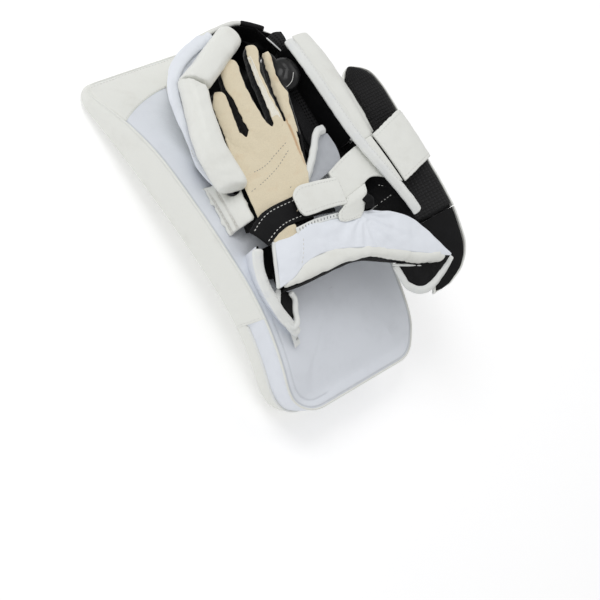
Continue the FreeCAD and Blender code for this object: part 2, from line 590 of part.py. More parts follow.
def make_cuff():
    board = below_board().fuse(nodes["back_seam_piping"])
    low = [Vector(-68, -118, 60), Vector(-80, -92, 60), Vector(-84, -60, 60), Vector(-80, -34, 60)]
    high = [Vector(-72, -120, 70), Vector(-88, -92, 80), Vector(-89, -50, 88), Vector(-83, -34, 95)]
    side = ribbon(low, high, Vector(2.5, 0, 0)).cut(board).cut(nodes["wrist_band"])
    rim = [point + Vector(1.2, 0, PIPING - 0.3) for point in high]
    binding = piping(rim[:-1] + [Vector(-84, -38, 95)], PIPING)
    nodes["cuff_left_binding"] = binding
    nodes["cuff_left_wall"] = solid_of(side.cut(binding))

    seam = [point + Vector(0, 1.0, -2.0 * CLEAR) for point in WRIST_BAND_LOW[1:]]
    flap_top = seam + [Vector(70, -62, 119), Vector(95, -78, 116.5), Vector(110, -100, 115),
                       Vector(119, -119, 114)]
    roll_top = [Vector(-77, -76, 98), Vector(-57, -67, 104), Vector(-33, -64.5, 110),
                Vector(2, -74, 119), Vector(50, -94, 119), Vector(117, -121, 114.5)]
    roll_low = [Vector(-78, -80, 97), Vector(-58, -83, 103), Vector(-36, -84, 110),
                Vector(3, -87, 120), Vector(46, -103, 119), Vector(110, -124.5, 113.5)]
    down = Vector(0, 0, -CUFF_THICKNESS)
    nodes["palm_cuff"] = ribbon(flap_top, roll_top, down)
    nodes["cuff_edge_roll"] = ribbon(roll_top, roll_low, Vector(0, 0, -EDGE_ROLL_THICKNESS))
    left_loop = ribbon([Vector(-80, -72, 66), Vector(-66, -92, 66)],
                       [Vector(-82, -72, 88), Vector(-58, -84, 90)],
                       Vector(LOOP_THICKNESS, 0, 0)).cut(board)
    hung = [Vector(52, -107, 106), Vector(78, -113, 103), Vector(94, -117, 101), Vector(110, -121, 98)]
    loose = [Vector(50, -108, 105), Vector(54, -133, 96), Vector(66, -140, 93), Vector(82, -140, 93),
             Vector(110, -134, 96)]
    vee_flap = ribbon(hung, loose, Vector(0, 0, -LOOP_THICKNESS))
    vee_flap = vee_flap.cut(nodes["thumb_base_shell"]).cut(nodes["thumb_base_lining"])
    nodes["cuff_gussets"] = Part.makeCompound([solid_of(left_loop), solid_of(vee_flap)])


# ---------------------------------------------------------------- build and write
make_board()
make_board_fittings()
make_palm()
for finger in FINGERS:
    make_finger(*finger)
make_finger_box()
make_index_guard()
make_index_dome()
make_thumb()
make_wrist()
make_cuff()

whole = Part.makeCompound(list(nodes.values())).optimalBoundingBox()
SHIFT = Vector(-whole.Center.x, -whole.Center.y, -whole.ZMin)
print("size %.2f x %.2f x %.2f, moved by %.3f %.3f %.3f"
      % (whole.XLength, whole.YLength, whole.ZLength, SHIFT.x, SHIFT.y, SHIFT.z))
for name, shape in nodes.items():
    placed = shape.copy()
    placed.translate(SHIFT)
    placed.exportStep("parts/" + name + ".step")
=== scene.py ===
"""Dresses the fixed frame of an ice hockey goalie blocker, lying on its board, palm side up.

Positions are given in the board's own millimetres: X runs across the board towards the
thumb, Y along it towards the fingertips and Z up.  at() turns them into scene metres.
"""

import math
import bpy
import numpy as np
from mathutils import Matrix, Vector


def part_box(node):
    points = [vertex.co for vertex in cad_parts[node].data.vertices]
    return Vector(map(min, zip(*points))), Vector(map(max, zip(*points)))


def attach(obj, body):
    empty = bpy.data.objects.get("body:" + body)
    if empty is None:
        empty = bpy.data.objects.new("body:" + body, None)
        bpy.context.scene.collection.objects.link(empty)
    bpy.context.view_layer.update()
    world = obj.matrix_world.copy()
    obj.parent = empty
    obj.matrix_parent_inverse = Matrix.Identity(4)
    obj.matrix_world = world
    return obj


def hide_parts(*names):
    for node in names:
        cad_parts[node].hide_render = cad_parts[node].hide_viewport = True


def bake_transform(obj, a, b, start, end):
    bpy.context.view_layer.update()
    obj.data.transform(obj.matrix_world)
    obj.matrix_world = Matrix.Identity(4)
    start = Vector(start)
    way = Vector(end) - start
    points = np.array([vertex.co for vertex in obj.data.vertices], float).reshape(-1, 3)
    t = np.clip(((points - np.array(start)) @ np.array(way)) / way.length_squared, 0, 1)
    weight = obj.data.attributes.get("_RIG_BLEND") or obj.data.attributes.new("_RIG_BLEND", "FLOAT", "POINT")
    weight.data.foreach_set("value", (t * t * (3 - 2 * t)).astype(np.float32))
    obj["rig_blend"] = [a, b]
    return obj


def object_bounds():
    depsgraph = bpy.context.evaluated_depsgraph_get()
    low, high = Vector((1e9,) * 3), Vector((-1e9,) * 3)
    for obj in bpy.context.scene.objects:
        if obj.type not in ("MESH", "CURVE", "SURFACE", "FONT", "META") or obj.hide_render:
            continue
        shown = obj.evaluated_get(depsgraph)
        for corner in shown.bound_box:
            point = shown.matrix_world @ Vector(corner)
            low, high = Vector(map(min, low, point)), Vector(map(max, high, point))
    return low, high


bl_info = {
    "name": "Goalie blocker",
    "version": (1, 0, 0),
    "blender": (4, 5, 0),
    "location": "View3D > Sidebar > Blocker",
    "description": "Models the leather, cloth, padding and stitching of a goalie blocker",
    "category": "Object",
}

import bmesh
import bpy
from bpy.props import FloatProperty, FloatVectorProperty, PointerProperty
from mathutils import Matrix, Vector, noise
from mathutils.bvhtree import BVHTree
from mathutils.kdtree import KDTree

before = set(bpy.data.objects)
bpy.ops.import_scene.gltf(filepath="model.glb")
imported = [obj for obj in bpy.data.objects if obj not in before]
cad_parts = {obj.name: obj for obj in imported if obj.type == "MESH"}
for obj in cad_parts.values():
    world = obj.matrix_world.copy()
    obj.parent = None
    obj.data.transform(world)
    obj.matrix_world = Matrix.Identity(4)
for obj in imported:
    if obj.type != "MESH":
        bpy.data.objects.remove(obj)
cad_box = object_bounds()

# ------------------------------------------------------------------ the board's own sizes
MM = 0.001
HALF_WIDTH = 95.0
TIP_Y = 182.0
HEEL_Y = -173.0
HEEL_LEAN = 16.0
CROWN_Y = -57.0
CROWN_RISE = 31.0
BOARD_THICKNESS = 40.0
TAPER_START_Y = 60.0
TIP_THICKNESS = 9.0
TIP_CORNER = 20.0
HEEL_CORNER = 34.0
LOW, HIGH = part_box("board_front_face")
SHIFT = Vector(((LOW.x + HIGH.x) / 2.0, HIGH.y - TIP_Y * MM, 0.0))

# the palm's plane: middle of its heel, and the ways across, along and out of it
GLOVE_ORIGIN = Vector((-32.0, -3.0, 105.0))
GLOVE_TURN = (Matrix.Rotation(math.radians(-22.0), 3, "Z")
              @ Matrix.Rotation(math.radians(-2.0), 3, "X")
              @ Matrix.Rotation(math.radians(-22.0), 3, "Y"))


def size_property(name, description, default, low, high):
    """A size setting in millimetres"""
    return FloatProperty(name=name, description=description, default=default, min=low, max=high)


class BlockerSizes(bpy.types.PropertyGroup):
    """Sizes that change the look of the sewing and the padding"""

    piping: size_property("Piping radius", "Radius of the round bound edges", 2.2, 0.5, 4.0)
    leather: size_property("Leather thickness", "Thickness of the leather", 1.8, 0.5, 3.0)
    wrinkle: size_property("Wrinkle depth", "How deep the soft wrinkles are", 0.5, 0.0, 2.0)
    swell: size_property("Padding swell", "How far the padding may push out", 4.0, 0.0, 8.0)
    stitch: size_property("Stitch length", "Length of one stitch", 2.7, 1.0, 6.0)
    gap: size_property("Stitch spacing", "From one stitch to the next", 4.2, 2.0, 9.0)


def colour_property(name, description, red, green, blue):
    """A colour setting, given as display values from 0 to 255"""
    return FloatVectorProperty(name=name, description=description, subtype="COLOR_GAMMA",
                               size=3, min=0.0, max=1.0,
                               default=(red / 255.0, green / 255.0, blue / 255.0))


class BlockerColours(bpy.types.PropertyGroup):
    """Colours of the leather, cloth and thread"""

    leather: colour_property("Leather", "Warm white smooth leather", 232, 233, 228)
    nylon: colour_property("White nylon", "Cool white coated nylon and tape", 232, 236, 243)
    palm: colour_property("Palm", "Tan palm leather", 226, 214, 187)
    # Palm crease is the palm's patchy wear tone, and also the painted shade in its folds and creases
    crease: colour_property("Palm crease", "Worn colour in the palm's creases", 205, 158, 108)
    black: colour_property("Black cloth", "Nylon, knit and neoprene", 13, 13, 14)
    grey: colour_property("Grey", "Hook fastener and marked thread", 132, 134, 138)
    thread: colour_property("Thread", "White thread", 236, 236, 232)


# ------------------------------------------------------------------ places and lines
def at(point):
    """A point in the board's millimetres as a place in the scene"""
    return Vector(point) * MM + SHIFT


def glove(v, u, w=0.0):
    """A point given across, along and above the palm's plane, in the board's millimetres"""
    return GLOVE_ORIGIN + GLOVE_TURN @ Vector((v, u, w))


def front_z(y):
    """Height of the board's arched front face"""
    if y < CROWN_Y:
        share = (CROWN_Y - y) / (CROWN_Y - HEEL_Y)
        return CROWN_RISE * (1.0 - min(share, 1.0) ** 2.0)
    share = (y - CROWN_Y) / (TIP_Y - CROWN_Y)
    return CROWN_RISE * (1.0 - min(share, 1.0) ** 1.6)


def thickness(y):
    """Thickness of the board, which thins towards the fingertips"""
    share = max(0.0, (y - TAPER_START_Y) / (TIP_Y - TAPER_START_Y))
    return BOARD_THICKNESS - (BOARD_THICKNESS - TIP_THICKNESS) * share ** 2.0


def back_z(y):
    """Height of the board's back face, which carries the glove"""
    return front_z(y) + thickness(y)


def smooth(points, count):
    """Evenly spaced points along a smooth line through the given ones"""
    points = [Vector(point) for point in points]
    spans = [max((b - a).length, 1e-6) for a, b in zip(points, points[1:])]
    slopes = [(b - a) / span for a, b, span in zip(points, points[1:], spans)]
    tangents = [slopes[0]]
    for before, after, span_a, span_b in zip(slopes, slopes[1:], spans, spans[1:]):
        tangents.append((before * span_b + after * span_a) / (span_a + span_b))
    tangents.append(slopes[-1])
    fine = []
    for i, span in enumerate(spans):
        for step in range(12):
            t = step / 12.0
            fine.append(points[i] * (2 * t ** 3 - 3 * t ** 2 + 1)
                        + tangents[i] * span * (t ** 3 - 2 * t ** 2 + t)
                        + points[i + 1] * (3 * t ** 2 - 2 * t ** 3)
                        + tangents[i + 1] * span * (t ** 3 - t ** 2))
    fine.append(points[-1])
    lengths = running(fine)
    return [along_line(fine, lengths, lengths[-1] * k / (count - 1)) for k in range(count)]


def running(line):
    """The length of a line up to each of its points"""
    lengths = [0.0]
    for a, b in zip(line, line[1:]):
        lengths.append(lengths[-1] + (b - a).length)
    return lengths


def along_line(line, lengths, distance):
    """The point of a line at a distance from its start"""
    low, high = 0, len(line) - 1
    while high - low > 1:
        middle = (low + high) // 2
        if lengths[middle] <= distance:
            low = middle
        else:
            high = middle
    span = lengths[high] - lengths[low] or 1.0
    return line[low].lerp(line[high], unit((distance - lengths[low]) / span))


def moved(line, x, y, z):
    """A line shifted by some millimetres"""
    return [Vector(point) + Vector((x, y, z)) for point in line]


def between(first, second, share, lift=0.0):
    """A line at a share of the way from one edge to the other"""
    return [Vector(a).lerp(Vector(b), share) + Vector((0, 0, lift)) for a, b in zip(first, second)]


def at_steps(path, spacing):
    """Points along a smooth path, about this many millimetres apart"""
    rough = smooth(path, 60)
    length = running(rough)[-1]
    return smooth(path, max(3, int(length / spacing) + 1))


# ------------------------------------------------------------------ surfaces
def laid(place, across, along, up=None, swell=None, seam=False):
    """A grid whose corners go to place(i, j), in millimetres, with a UV map in metres"""
    mesh = bmesh.new()
    bmesh.ops.create_grid(mesh, x_segments=across, y_segments=along, size=1.0)
    uv = mesh.loops.layers.uv.new("UVMap")
    mesh.verts.layers.float.new("crease")
    steps = {vert: (round((vert.co.x + 1.0) / 2.0 * across), round((vert.co.y + 1.0) / 2.0 * along))
             for vert in mesh.verts}
    places = [[Vector(place(i, j)) for j in range(along + 1)] for i in range(across + 1)]
    wide = running([places[i][along // 2] for i in range(across + 1)])
    long = running(places[across // 2])
    for face in mesh.faces:
        for corner in face.loops:
            i, j = steps[corner.vert]
            corner[uv].uv = (wide[i] * MM, long[j] * MM)
    for vert, (i, j) in steps.items():
        vert.co = at(places[i][j])
    if up is not None:
        mesh.normal_update()
        lean = sum((face.normal * face.calc_area() for face in mesh.faces), Vector())
        if lean.dot(Vector(up)) < 0.0:
            bmesh.ops.reverse_faces(mesh, faces=mesh.faces)
    if swell is not None:
        mesh.normal_update()
        for vert, (i, j) in steps.items():
            vert.co += vert.normal * (swell(i / across, j / along) * MM)
    if up is None or seam:
        bmesh.ops.remove_doubles(mesh, verts=mesh.verts, dist=0.02 * MM)
    if up is None:
        bmesh.ops.recalc_face_normals(mesh, faces=mesh.faces)
    mesh.normal_update()
    return mesh


def columns_through(rows, across, along):
    """Evenly spaced columns of points on a smooth sheet through rows of points"""
    lines = [smooth(row, across + 1) for row in rows]
    return [smooth([line[i] for line in lines], along + 1) for i in range(across + 1)]


def patch(rows, across, along, up=(0, 0, 1), swell=None):
    """A smooth sheet through rows of points"""
    columns = columns_through(rows, across, along)
    return laid(lambda i, j: columns[i][j], across, along, up, swell)


def crown(height, power=1.0):
    """A swell that is highest in the middle of a sheet and nothing at its edges"""
    return lambda s, t: height * (math.sin(math.pi * s) * math.sin(math.pi * t)) ** power


def unit(value):
    """A value held between 0 and 1"""
    return min(max(value, 0.0), 1.0)


def dome(share):
    """How wide a round end is at a share of its length"""
    return math.sqrt(max(1.0 - (1.0 - share) ** 2, 0.0))


def squared(step, count, power):
    """A place on a circle that is squared off by some power"""
    angle = 2.0 * math.pi * (step % count) / count
    side, rise = math.cos(angle), math.sin(angle)
    reach = (abs(side) ** power + abs(rise) ** power) ** (-1.0 / power)
    return side * reach, rise * reach


def oval(width, height, count=14, power=2.4, ridge=0.0):
    """A closed profile between an ellipse and a rectangle, which may have a ridge on top"""
    profile = []
    for step in range(count):
        side, rise = squared(step, count, power)
        lift = ridge * math.exp(-(side / 0.3) ** 2) if rise > 0.0 else 0.0
        profile.append((side * width / 2.0, rise * height / 2.0 + lift))
    return profile


def sweep(path, profile, up=(0, 0, 1), spacing=3.0, end=1.2, wobble=0.0, seed=0.0):
    """A closed profile carried along a path, with rounded ends"""
    fine = smooth(path, 160)
    lengths = running(fine)
    total = lengths[-1]
    inner = max(2, int((total - 2.0 * end) / spacing))
    # places along the path, and how far the profile has opened there
    stops = [(0.0, 0.0), (0.15 * end, 0.55), (0.5 * end, 0.87)]
    stops += [(end + (total - 2.0 * end) * k / inner, 1.0) for k in range(inner + 1)]
    stops += [(total - 0.5 * end, 0.87), (total - 0.15 * end, 0.55), (total, 0.0)]
    count = len(profile)
    rings = []
    for distance, size in stops:
        here = along_line(fine, lengths, distance)
        ahead = (along_line(fine, lengths, min(distance + 2.0, total))
                 - along_line(fine, lengths, max(distance - 2.0, 0.0))).normalized()
        side = ahead.cross(Vector(up)).normalized()
        rise = side.cross(ahead)
        shake = wobble * noise.noise(Vector((distance / 7.0, seed, 3.0)))
        rings.append([here + side * (a * size + shake) + rise * (b * size) for a, b in profile])
    return laid(lambda i, j: rings[j][i % count], count, len(rings) - 1)


def push(mesh, amount):
    """Moves each vertex along its normal by amount(vertex) millimetres"""
    for vert in mesh.verts:
        vert.co += vert.normal * (amount(vert) * MM)
    mesh.normal_update()
    return mesh


def crumple(mesh, depth, size, seed=0.0, stretch=(1.0, 1.0, 1.0)):
    """Pushes a surface in and out in soft, uneven wrinkles"""
    def wave(vert):
        x, y, z = (value / share for value, share in zip(vert.co / (size * MM), stretch))
        return depth * noise.fractal(Vector((x, y, z + seed)), 0.9, 2.1, 3,
                                     noise_basis="PERLIN_ORIGINAL")

    return push(mesh, wave)


def groove(mesh, paths, width, depth, mark=1.0):
    """Presses lines into a surface, and marks them for the finish to darken as painted shade"""
    points = [at(point) for path in paths for point in at_steps(path, 0.8)]
    tree = KDTree(len(points))
    for index, point in enumerate(points):
        tree.insert(point, index)
    tree.balance()
    layer = mesh.verts.layers.float.get("crease") or mesh.verts.layers.float.new("crease")
    for vert in mesh.verts:
        distance = tree.find(vert.co)[2] / (width * MM)
        fall = math.exp(-distance * distance)
        vert.co -= vert.normal * (depth * MM * fall)
        vert[layer] = max(vert[layer], mark * fall)
    mesh.normal_update()
    return mesh


def keep_side(mesh, point, way):
    """Cuts a surface off behind a plane"""
    everything = mesh.verts[:] + mesh.edges[:] + mesh.faces[:]
    bmesh.ops.bisect_plane(mesh, geom=everything, dist=1e-6, plane_co=at(point),
                           plane_no=Vector(way), clear_inner=True)
    return mesh


# ------------------------------------------------------------------ objects
SWELL_FRAMES = 20                       # how long the stuffing is left to swell
STITCH_LIFT = 0.1


def piece(name, finish, mesh, nodes="", thick=0.0, wrinkles=(), body="board", soft=1):
    """Makes a mesh an object with its finish, the nodes it stands for and its body

    wrinkles holds the depth, size and seed that crumple takes.
    """
    if wrinkles:
        crumple(mesh, *wrinkles)
    data = bpy.data.meshes.new(name)
    mesh.to_mesh(data)
    mesh.free()
    obj = bpy.data.objects.new(name, data)
    bpy.context.scene.collection.objects.link(obj)
    data.materials.append(FINISHES[finish].material)
    if thick:
        wall = obj.modifiers.new("Thickness", "SOLIDIFY")
        wall.thickness = thick * MM
    if soft:
        soften(obj)
    else:
        shade_smooth(obj)
    if nodes:
        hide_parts(*nodes.split())
    if body:
        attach(obj, body)
    return obj


def shade_smooth(obj):
    """Shades all faces of an object as one smooth surface"""
    obj.data.polygons.foreach_set("use_smooth", [True] * len(obj.data.polygons))


def soften(obj):
    """Rounds an object off by one level of subdivision"""
    shade_smooth(obj)
    rounding = obj.modifiers.new("Soft", "SUBSURF")
    rounding.levels = rounding.render_levels = 1


def settle(obj):
    """Applies an object's modifiers to its mesh"""
    bpy.context.view_layer.update()
    view = bpy.context.evaluated_depsgraph_get()
    final = bpy.data.meshes.new_from_object(obj.evaluated_get(view), depsgraph=view)
    obj.modifiers.clear()
    obj.data = final


def bend(obj, second, start, end):
    """Lets a piece bend between the board and another body, from start to end"""
    settle(obj)
    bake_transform(obj, "board", second, start=tuple(at(start)), end=tuple(at(end)))


def rework(obj, passes, change):
    """Smooths an object's mesh a few times and then changes it further"""
    work = bmesh.new()
    work.from_mesh(obj.data)
    for _ in range(passes):
        bmesh.ops.smooth_vert(work, verts=work.verts, factor=0.5, use_axis_x=True,
                              use_axis_y=True, use_axis_z=True)
    work.normal_update()
    change(work)
    work.to_mesh(obj.data)
    work.free()


def stuffed(name, node, marks, voxel=3.0, inset=1.2, cap=4.0, body="board"):
    """A leather pad in the place of a node, swollen by a cloth simulation like real stuffing"""
    def shrink(work):
        for vert in work.verts:
            vert.co -= vert.normal * inset * MM

    mesh = bmesh.new()
    mesh.from_mesh(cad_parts[node].data)
    bmesh.ops.remove_doubles(mesh, verts=mesh.verts, dist=0.01 * MM)
    obj = piece(name, "white_leather", mesh, node, body="", soft=0)
    even = obj.modifiers.new("Even", "REMESH")
    even.mode = "VOXEL"
    even.voxel_size = voxel * MM
    settle(obj)
    rework(obj, 2, shrink)
    swell(obj, cap)
    rework(obj, 1, marks)
    soften(obj)
    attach(obj, body)
    return obj


def swell(obj, cap):
    """Runs cloth with air pressure inside it and keeps how the surface moved"""
    rest = [vert.co.copy() for vert in obj.data.vertices]
    settings = obj.modifiers.new("Stuffing", "CLOTH").settings
    settings.use_pressure = True
    settings.uniform_pressure_force = 4.0
    settings.effector_weights.gravity = 0.0
    settings.mass = 0.3
    settings.quality = 4
    for frame_number in range(1, SWELL_FRAMES + 1):
        bpy.context.scene.frame_set(frame_number)
    view = bpy.context.evaluated_depsgraph_get()
    moved = [vert.co.copy() for vert in obj.evaluated_get(view).data.vertices]
    obj.modifiers.clear()
    bpy.context.scene.frame_set(1)
    for vert, was, now in zip(obj.data.vertices, rest, moved):
        move = now - was
        if move.length > cap * MM:
            move = move.normalized() * cap * MM
        vert.co = was + move


def stitches(name, paths, on, body="board", finish="thread_white", spacing=None, length=None,
             radius=0.42, turn=0.0, upward=False):
    """Rows of thread, each stitch laid on the surface it holds"""
    sizes = bpy.context.scene.blocker_sizes
    length = length or sizes.stitch
    bpy.context.view_layer.update()
    skin = BVHTree.FromObject(on, bpy.context.evaluated_depsgraph_get())
    mesh = bmesh.new()
    for path in paths:
        line = [at(point) for point in at_steps(path, spacing or sizes.gap)]
        for before, here, after in zip(line, line[1:], line[2:]):
            spot, normal, _face, _far = skin.find_nearest(here)
            if upward and normal.z < 0.0:
                normal = -normal
            way = after - before
            way = (way - normal * way.dot(normal)).normalized()
            if turn:
                way = Matrix.Rotation(math.radians(turn), 3, normal) @ way
            basis = Matrix((normal.cross(way) * radius * MM, normal * radius * 0.8 * MM,
                            way * length / 2.0 * MM)).transposed().to_4x4()
            basis.translation = spot + normal * STITCH_LIFT * MM
            bmesh.ops.create_uvsphere(mesh, u_segments=6, v_segments=4, radius=1.0, matrix=basis)
    return piece(name, finish, mesh, body=body, soft=0)


# ------------------------------------------------------------------ finishes
def math_node(operation, swapped=False):
    """A method of Signal that adds one Math node"""
    def method(self, other=0.0):
        pair = (other, self) if swapped else (self, other)
        return self.finish.node("Math", {"operation": operation}, dict(enumerate((*pair, 0.0))))

    return method


class Signal:
    """A value in a shader; arithmetic on it adds Math nodes"""

    def __init__(self, finish, socket):
        self.finish = finish
        self.socket = socket

    __add__ = __radd__ = math_node("ADD")
    __mul__ = __rmul__ = math_node("MULTIPLY")
    __sub__ = math_node("SUBTRACT")
    __rsub__ = math_node("SUBTRACT", swapped=True)
    __abs__ = math_node("ABSOLUTE")
    sine = math_node("SINE")

    def between(self, low, high):
        """0 below low, 1 above high and smooth in between"""
        return self.finish.node("MapRange", {"interpolation_type": "SMOOTHSTEP"},
                                {0: self, 1: low, 2: high, 3: 0.0, 4: 1.0})


def linear(colour):
    """Display colour to the light values that a shader takes"""
    values = [c / 12.92 if c <= 0.04045 else ((c + 0.055) / 1.055) ** 2.4 for c in colour]
    return (*values, 1.0)


def shade(colour, factor):
    """A darker or lighter shader colour"""
    return tuple(min(c * factor, 1.0) for c in colour[:3]) + (1.0,)


FINISHES = {}
PLAIN = (1.0, 1.0, 1.0)


class Finish:
    """One material: a Principled shader and the nodes that vary it"""

    def __init__(self, name, slot=None, **fixed):
        self.slot = slot or name
        self.material = bpy.data.materials.new(name)
        self.material.use_nodes = True
        self.tree = self.material.node_tree
        self.shader = self.tree.nodes["Principled BSDF"]
        for key, value in fixed.items():
            self.shader.inputs[key.replace("_", " ")].default_value = value
        self.normal = None
        self.places = {}
        FINISHES[name] = self

    def join(self, node, key, value):
        """Gives an input of a node a signal or a constant"""
        if isinstance(value, Signal):
            self.tree.links.new(value.socket, node.inputs[key])
        else:
            node.inputs[key].default_value = value

    def node(self, kind, settings=(), inputs=(), out=0):
        """Adds a node, sets it up, joins its inputs and gives one output"""
        made = self.tree.nodes.new("ShaderNode" + kind)
        for key, value in dict(settings).items():
            setattr(made, key, value)
        for key, value in dict(inputs).items():
            self.join(made, key, value)
        return Signal(self, made.outputs[out])

    def place(self, uv=False, stretch=PLAIN):
        """Object or UV coordinates in millimetres, which may be stretched"""
        key = (uv, stretch)
        if key not in self.places:
            base = self.node("TexCoord", out="UV" if uv else "Object")
            scale = tuple(1.0 / MM / share for share in stretch)
            self.places[key] = self.node("VectorMath", {"operation": "MULTIPLY"},
                                         {0: base, 1: scale})
        return self.places[key]

    def axes(self, uv):
        """The coordinates across and along as values"""
        parts = self.node("SeparateXYZ", (), {0: self.place(uv)}).socket.node.outputs
        return Signal(self, parts[0]), Signal(self, parts[1])

    def cloud(self, size, detail=3.0, rough=0.5, stretch=PLAIN):
        """Soft uneven noise, its lumps about this many millimetres across"""
        return self.node("TexNoise", (), {"Vector": self.place(False, stretch),
                                          "Scale": 1.0 / size, "Detail": detail,
                                          "Roughness": rough})

    def cells(self, size, random=1.0, uv=False, stretch=PLAIN):
        """Distance pattern of cells, each about this many millimetres across"""
        return self.node("TexVoronoi", (), {"Vector": self.place(uv, stretch),
                                            "Scale": 1.0 / size, "Randomness": random})

    def mark(self):
        """How deep in a crease or seam a point lies, from 0 to 1"""
        return self.node("Attribute", {"attribute_name": "crease"}, (), out="Fac")

    def mix(self, first, second, share):
        """A blend of two colours"""
        return self.node("Mix", {"data_type": "RGBA"}, {0: share, 6: first, 7: second}, out=2)

    def bump(self, height, depth, strength):
        """Raises the surface by up to this many millimetres"""
        inputs = {"Height": height, "Distance": depth * MM, "Strength": strength}
        if self.normal:
            inputs["Normal"] = self.normal
        self.normal = self.node("Bump", (), inputs)
        self.join(self.shader, "Normal", self.normal)

    def paint(self, colour, roughness=None):
        """Gives the shader its varying colour and roughness"""
        self.join(self.shader, "Base Color", colour)
        if roughness is not None:
            self.join(self.shader, "Roughness", roughness)


def make_leather(name, slot, colour, soil_and_seam_shade):
    """Smooth coated leather: fine pebbles, faint dirt and scuffs, and painted shade that makes it darker in
    the seams
    """
    finish = Finish(name, slot, Specular_IOR_Level=0.42, Coat_Weight=0.06, Coat_Roughness=0.35)
    wear = finish.cloud(34.0, 4.0, 0.6)
    spots = finish.cloud(3.2, 5.0, 0.7)
    dirt = (wear.between(0.5, 0.8) * 0.5 + spots.between(0.62, 0.8) * 0.35) * 0.35
    base = finish.mix(colour, soil_and_seam_shade, dirt)
    # painted shade: pressed seams and creases darken towards a darker copy of the dirt colour
    seam = finish.mark()
    finish.paint(finish.mix(base, shade(soil_and_seam_shade, 0.72), seam.between(0.25, 1.0) * 0.55),
                 wear * 0.16 + spots * 0.1 + 0.36)
    finish.bump(finish.cells(1.1), 0.10, 0.55)
    finish.bump(finish.cloud(5.5, 4.0, 0.55), 0.5, 0.5)


def make_nylon(name, slot, colour, thread, size, rough, uv=True, depth=0.12, shine=0.35):
    """Woven cloth: crossing threads, a little dust and fading, and painted shade in its grooves"""
    finish = Finish(name, slot, Specular_IOR_Level=shine, Sheen_Weight=0.25 * shine,
                    Sheen_Roughness=0.4)
    u, v = finish.axes(uv)
    turn = 2.0 * math.pi / size
    weave = (u * turn).sine() * (v * turn).sine() * 0.5 + 0.5
    dust = finish.cloud(16.0, 4.0, 0.6)
    base = finish.mix(colour, thread, weave * 0.45 + dust.between(0.45, 0.8) * 0.35)
    # painted shade: grooves darken towards a darker copy of the cloth's own colour
    finish.paint(finish.mix(base, shade(colour, 0.5), finish.mark() * 0.6), dust * 0.15 + rough)
    finish.bump(weave, depth, 0.8)
    finish.bump(finish.cloud(9.0, 3.0, 0.5), 0.35, 0.5)


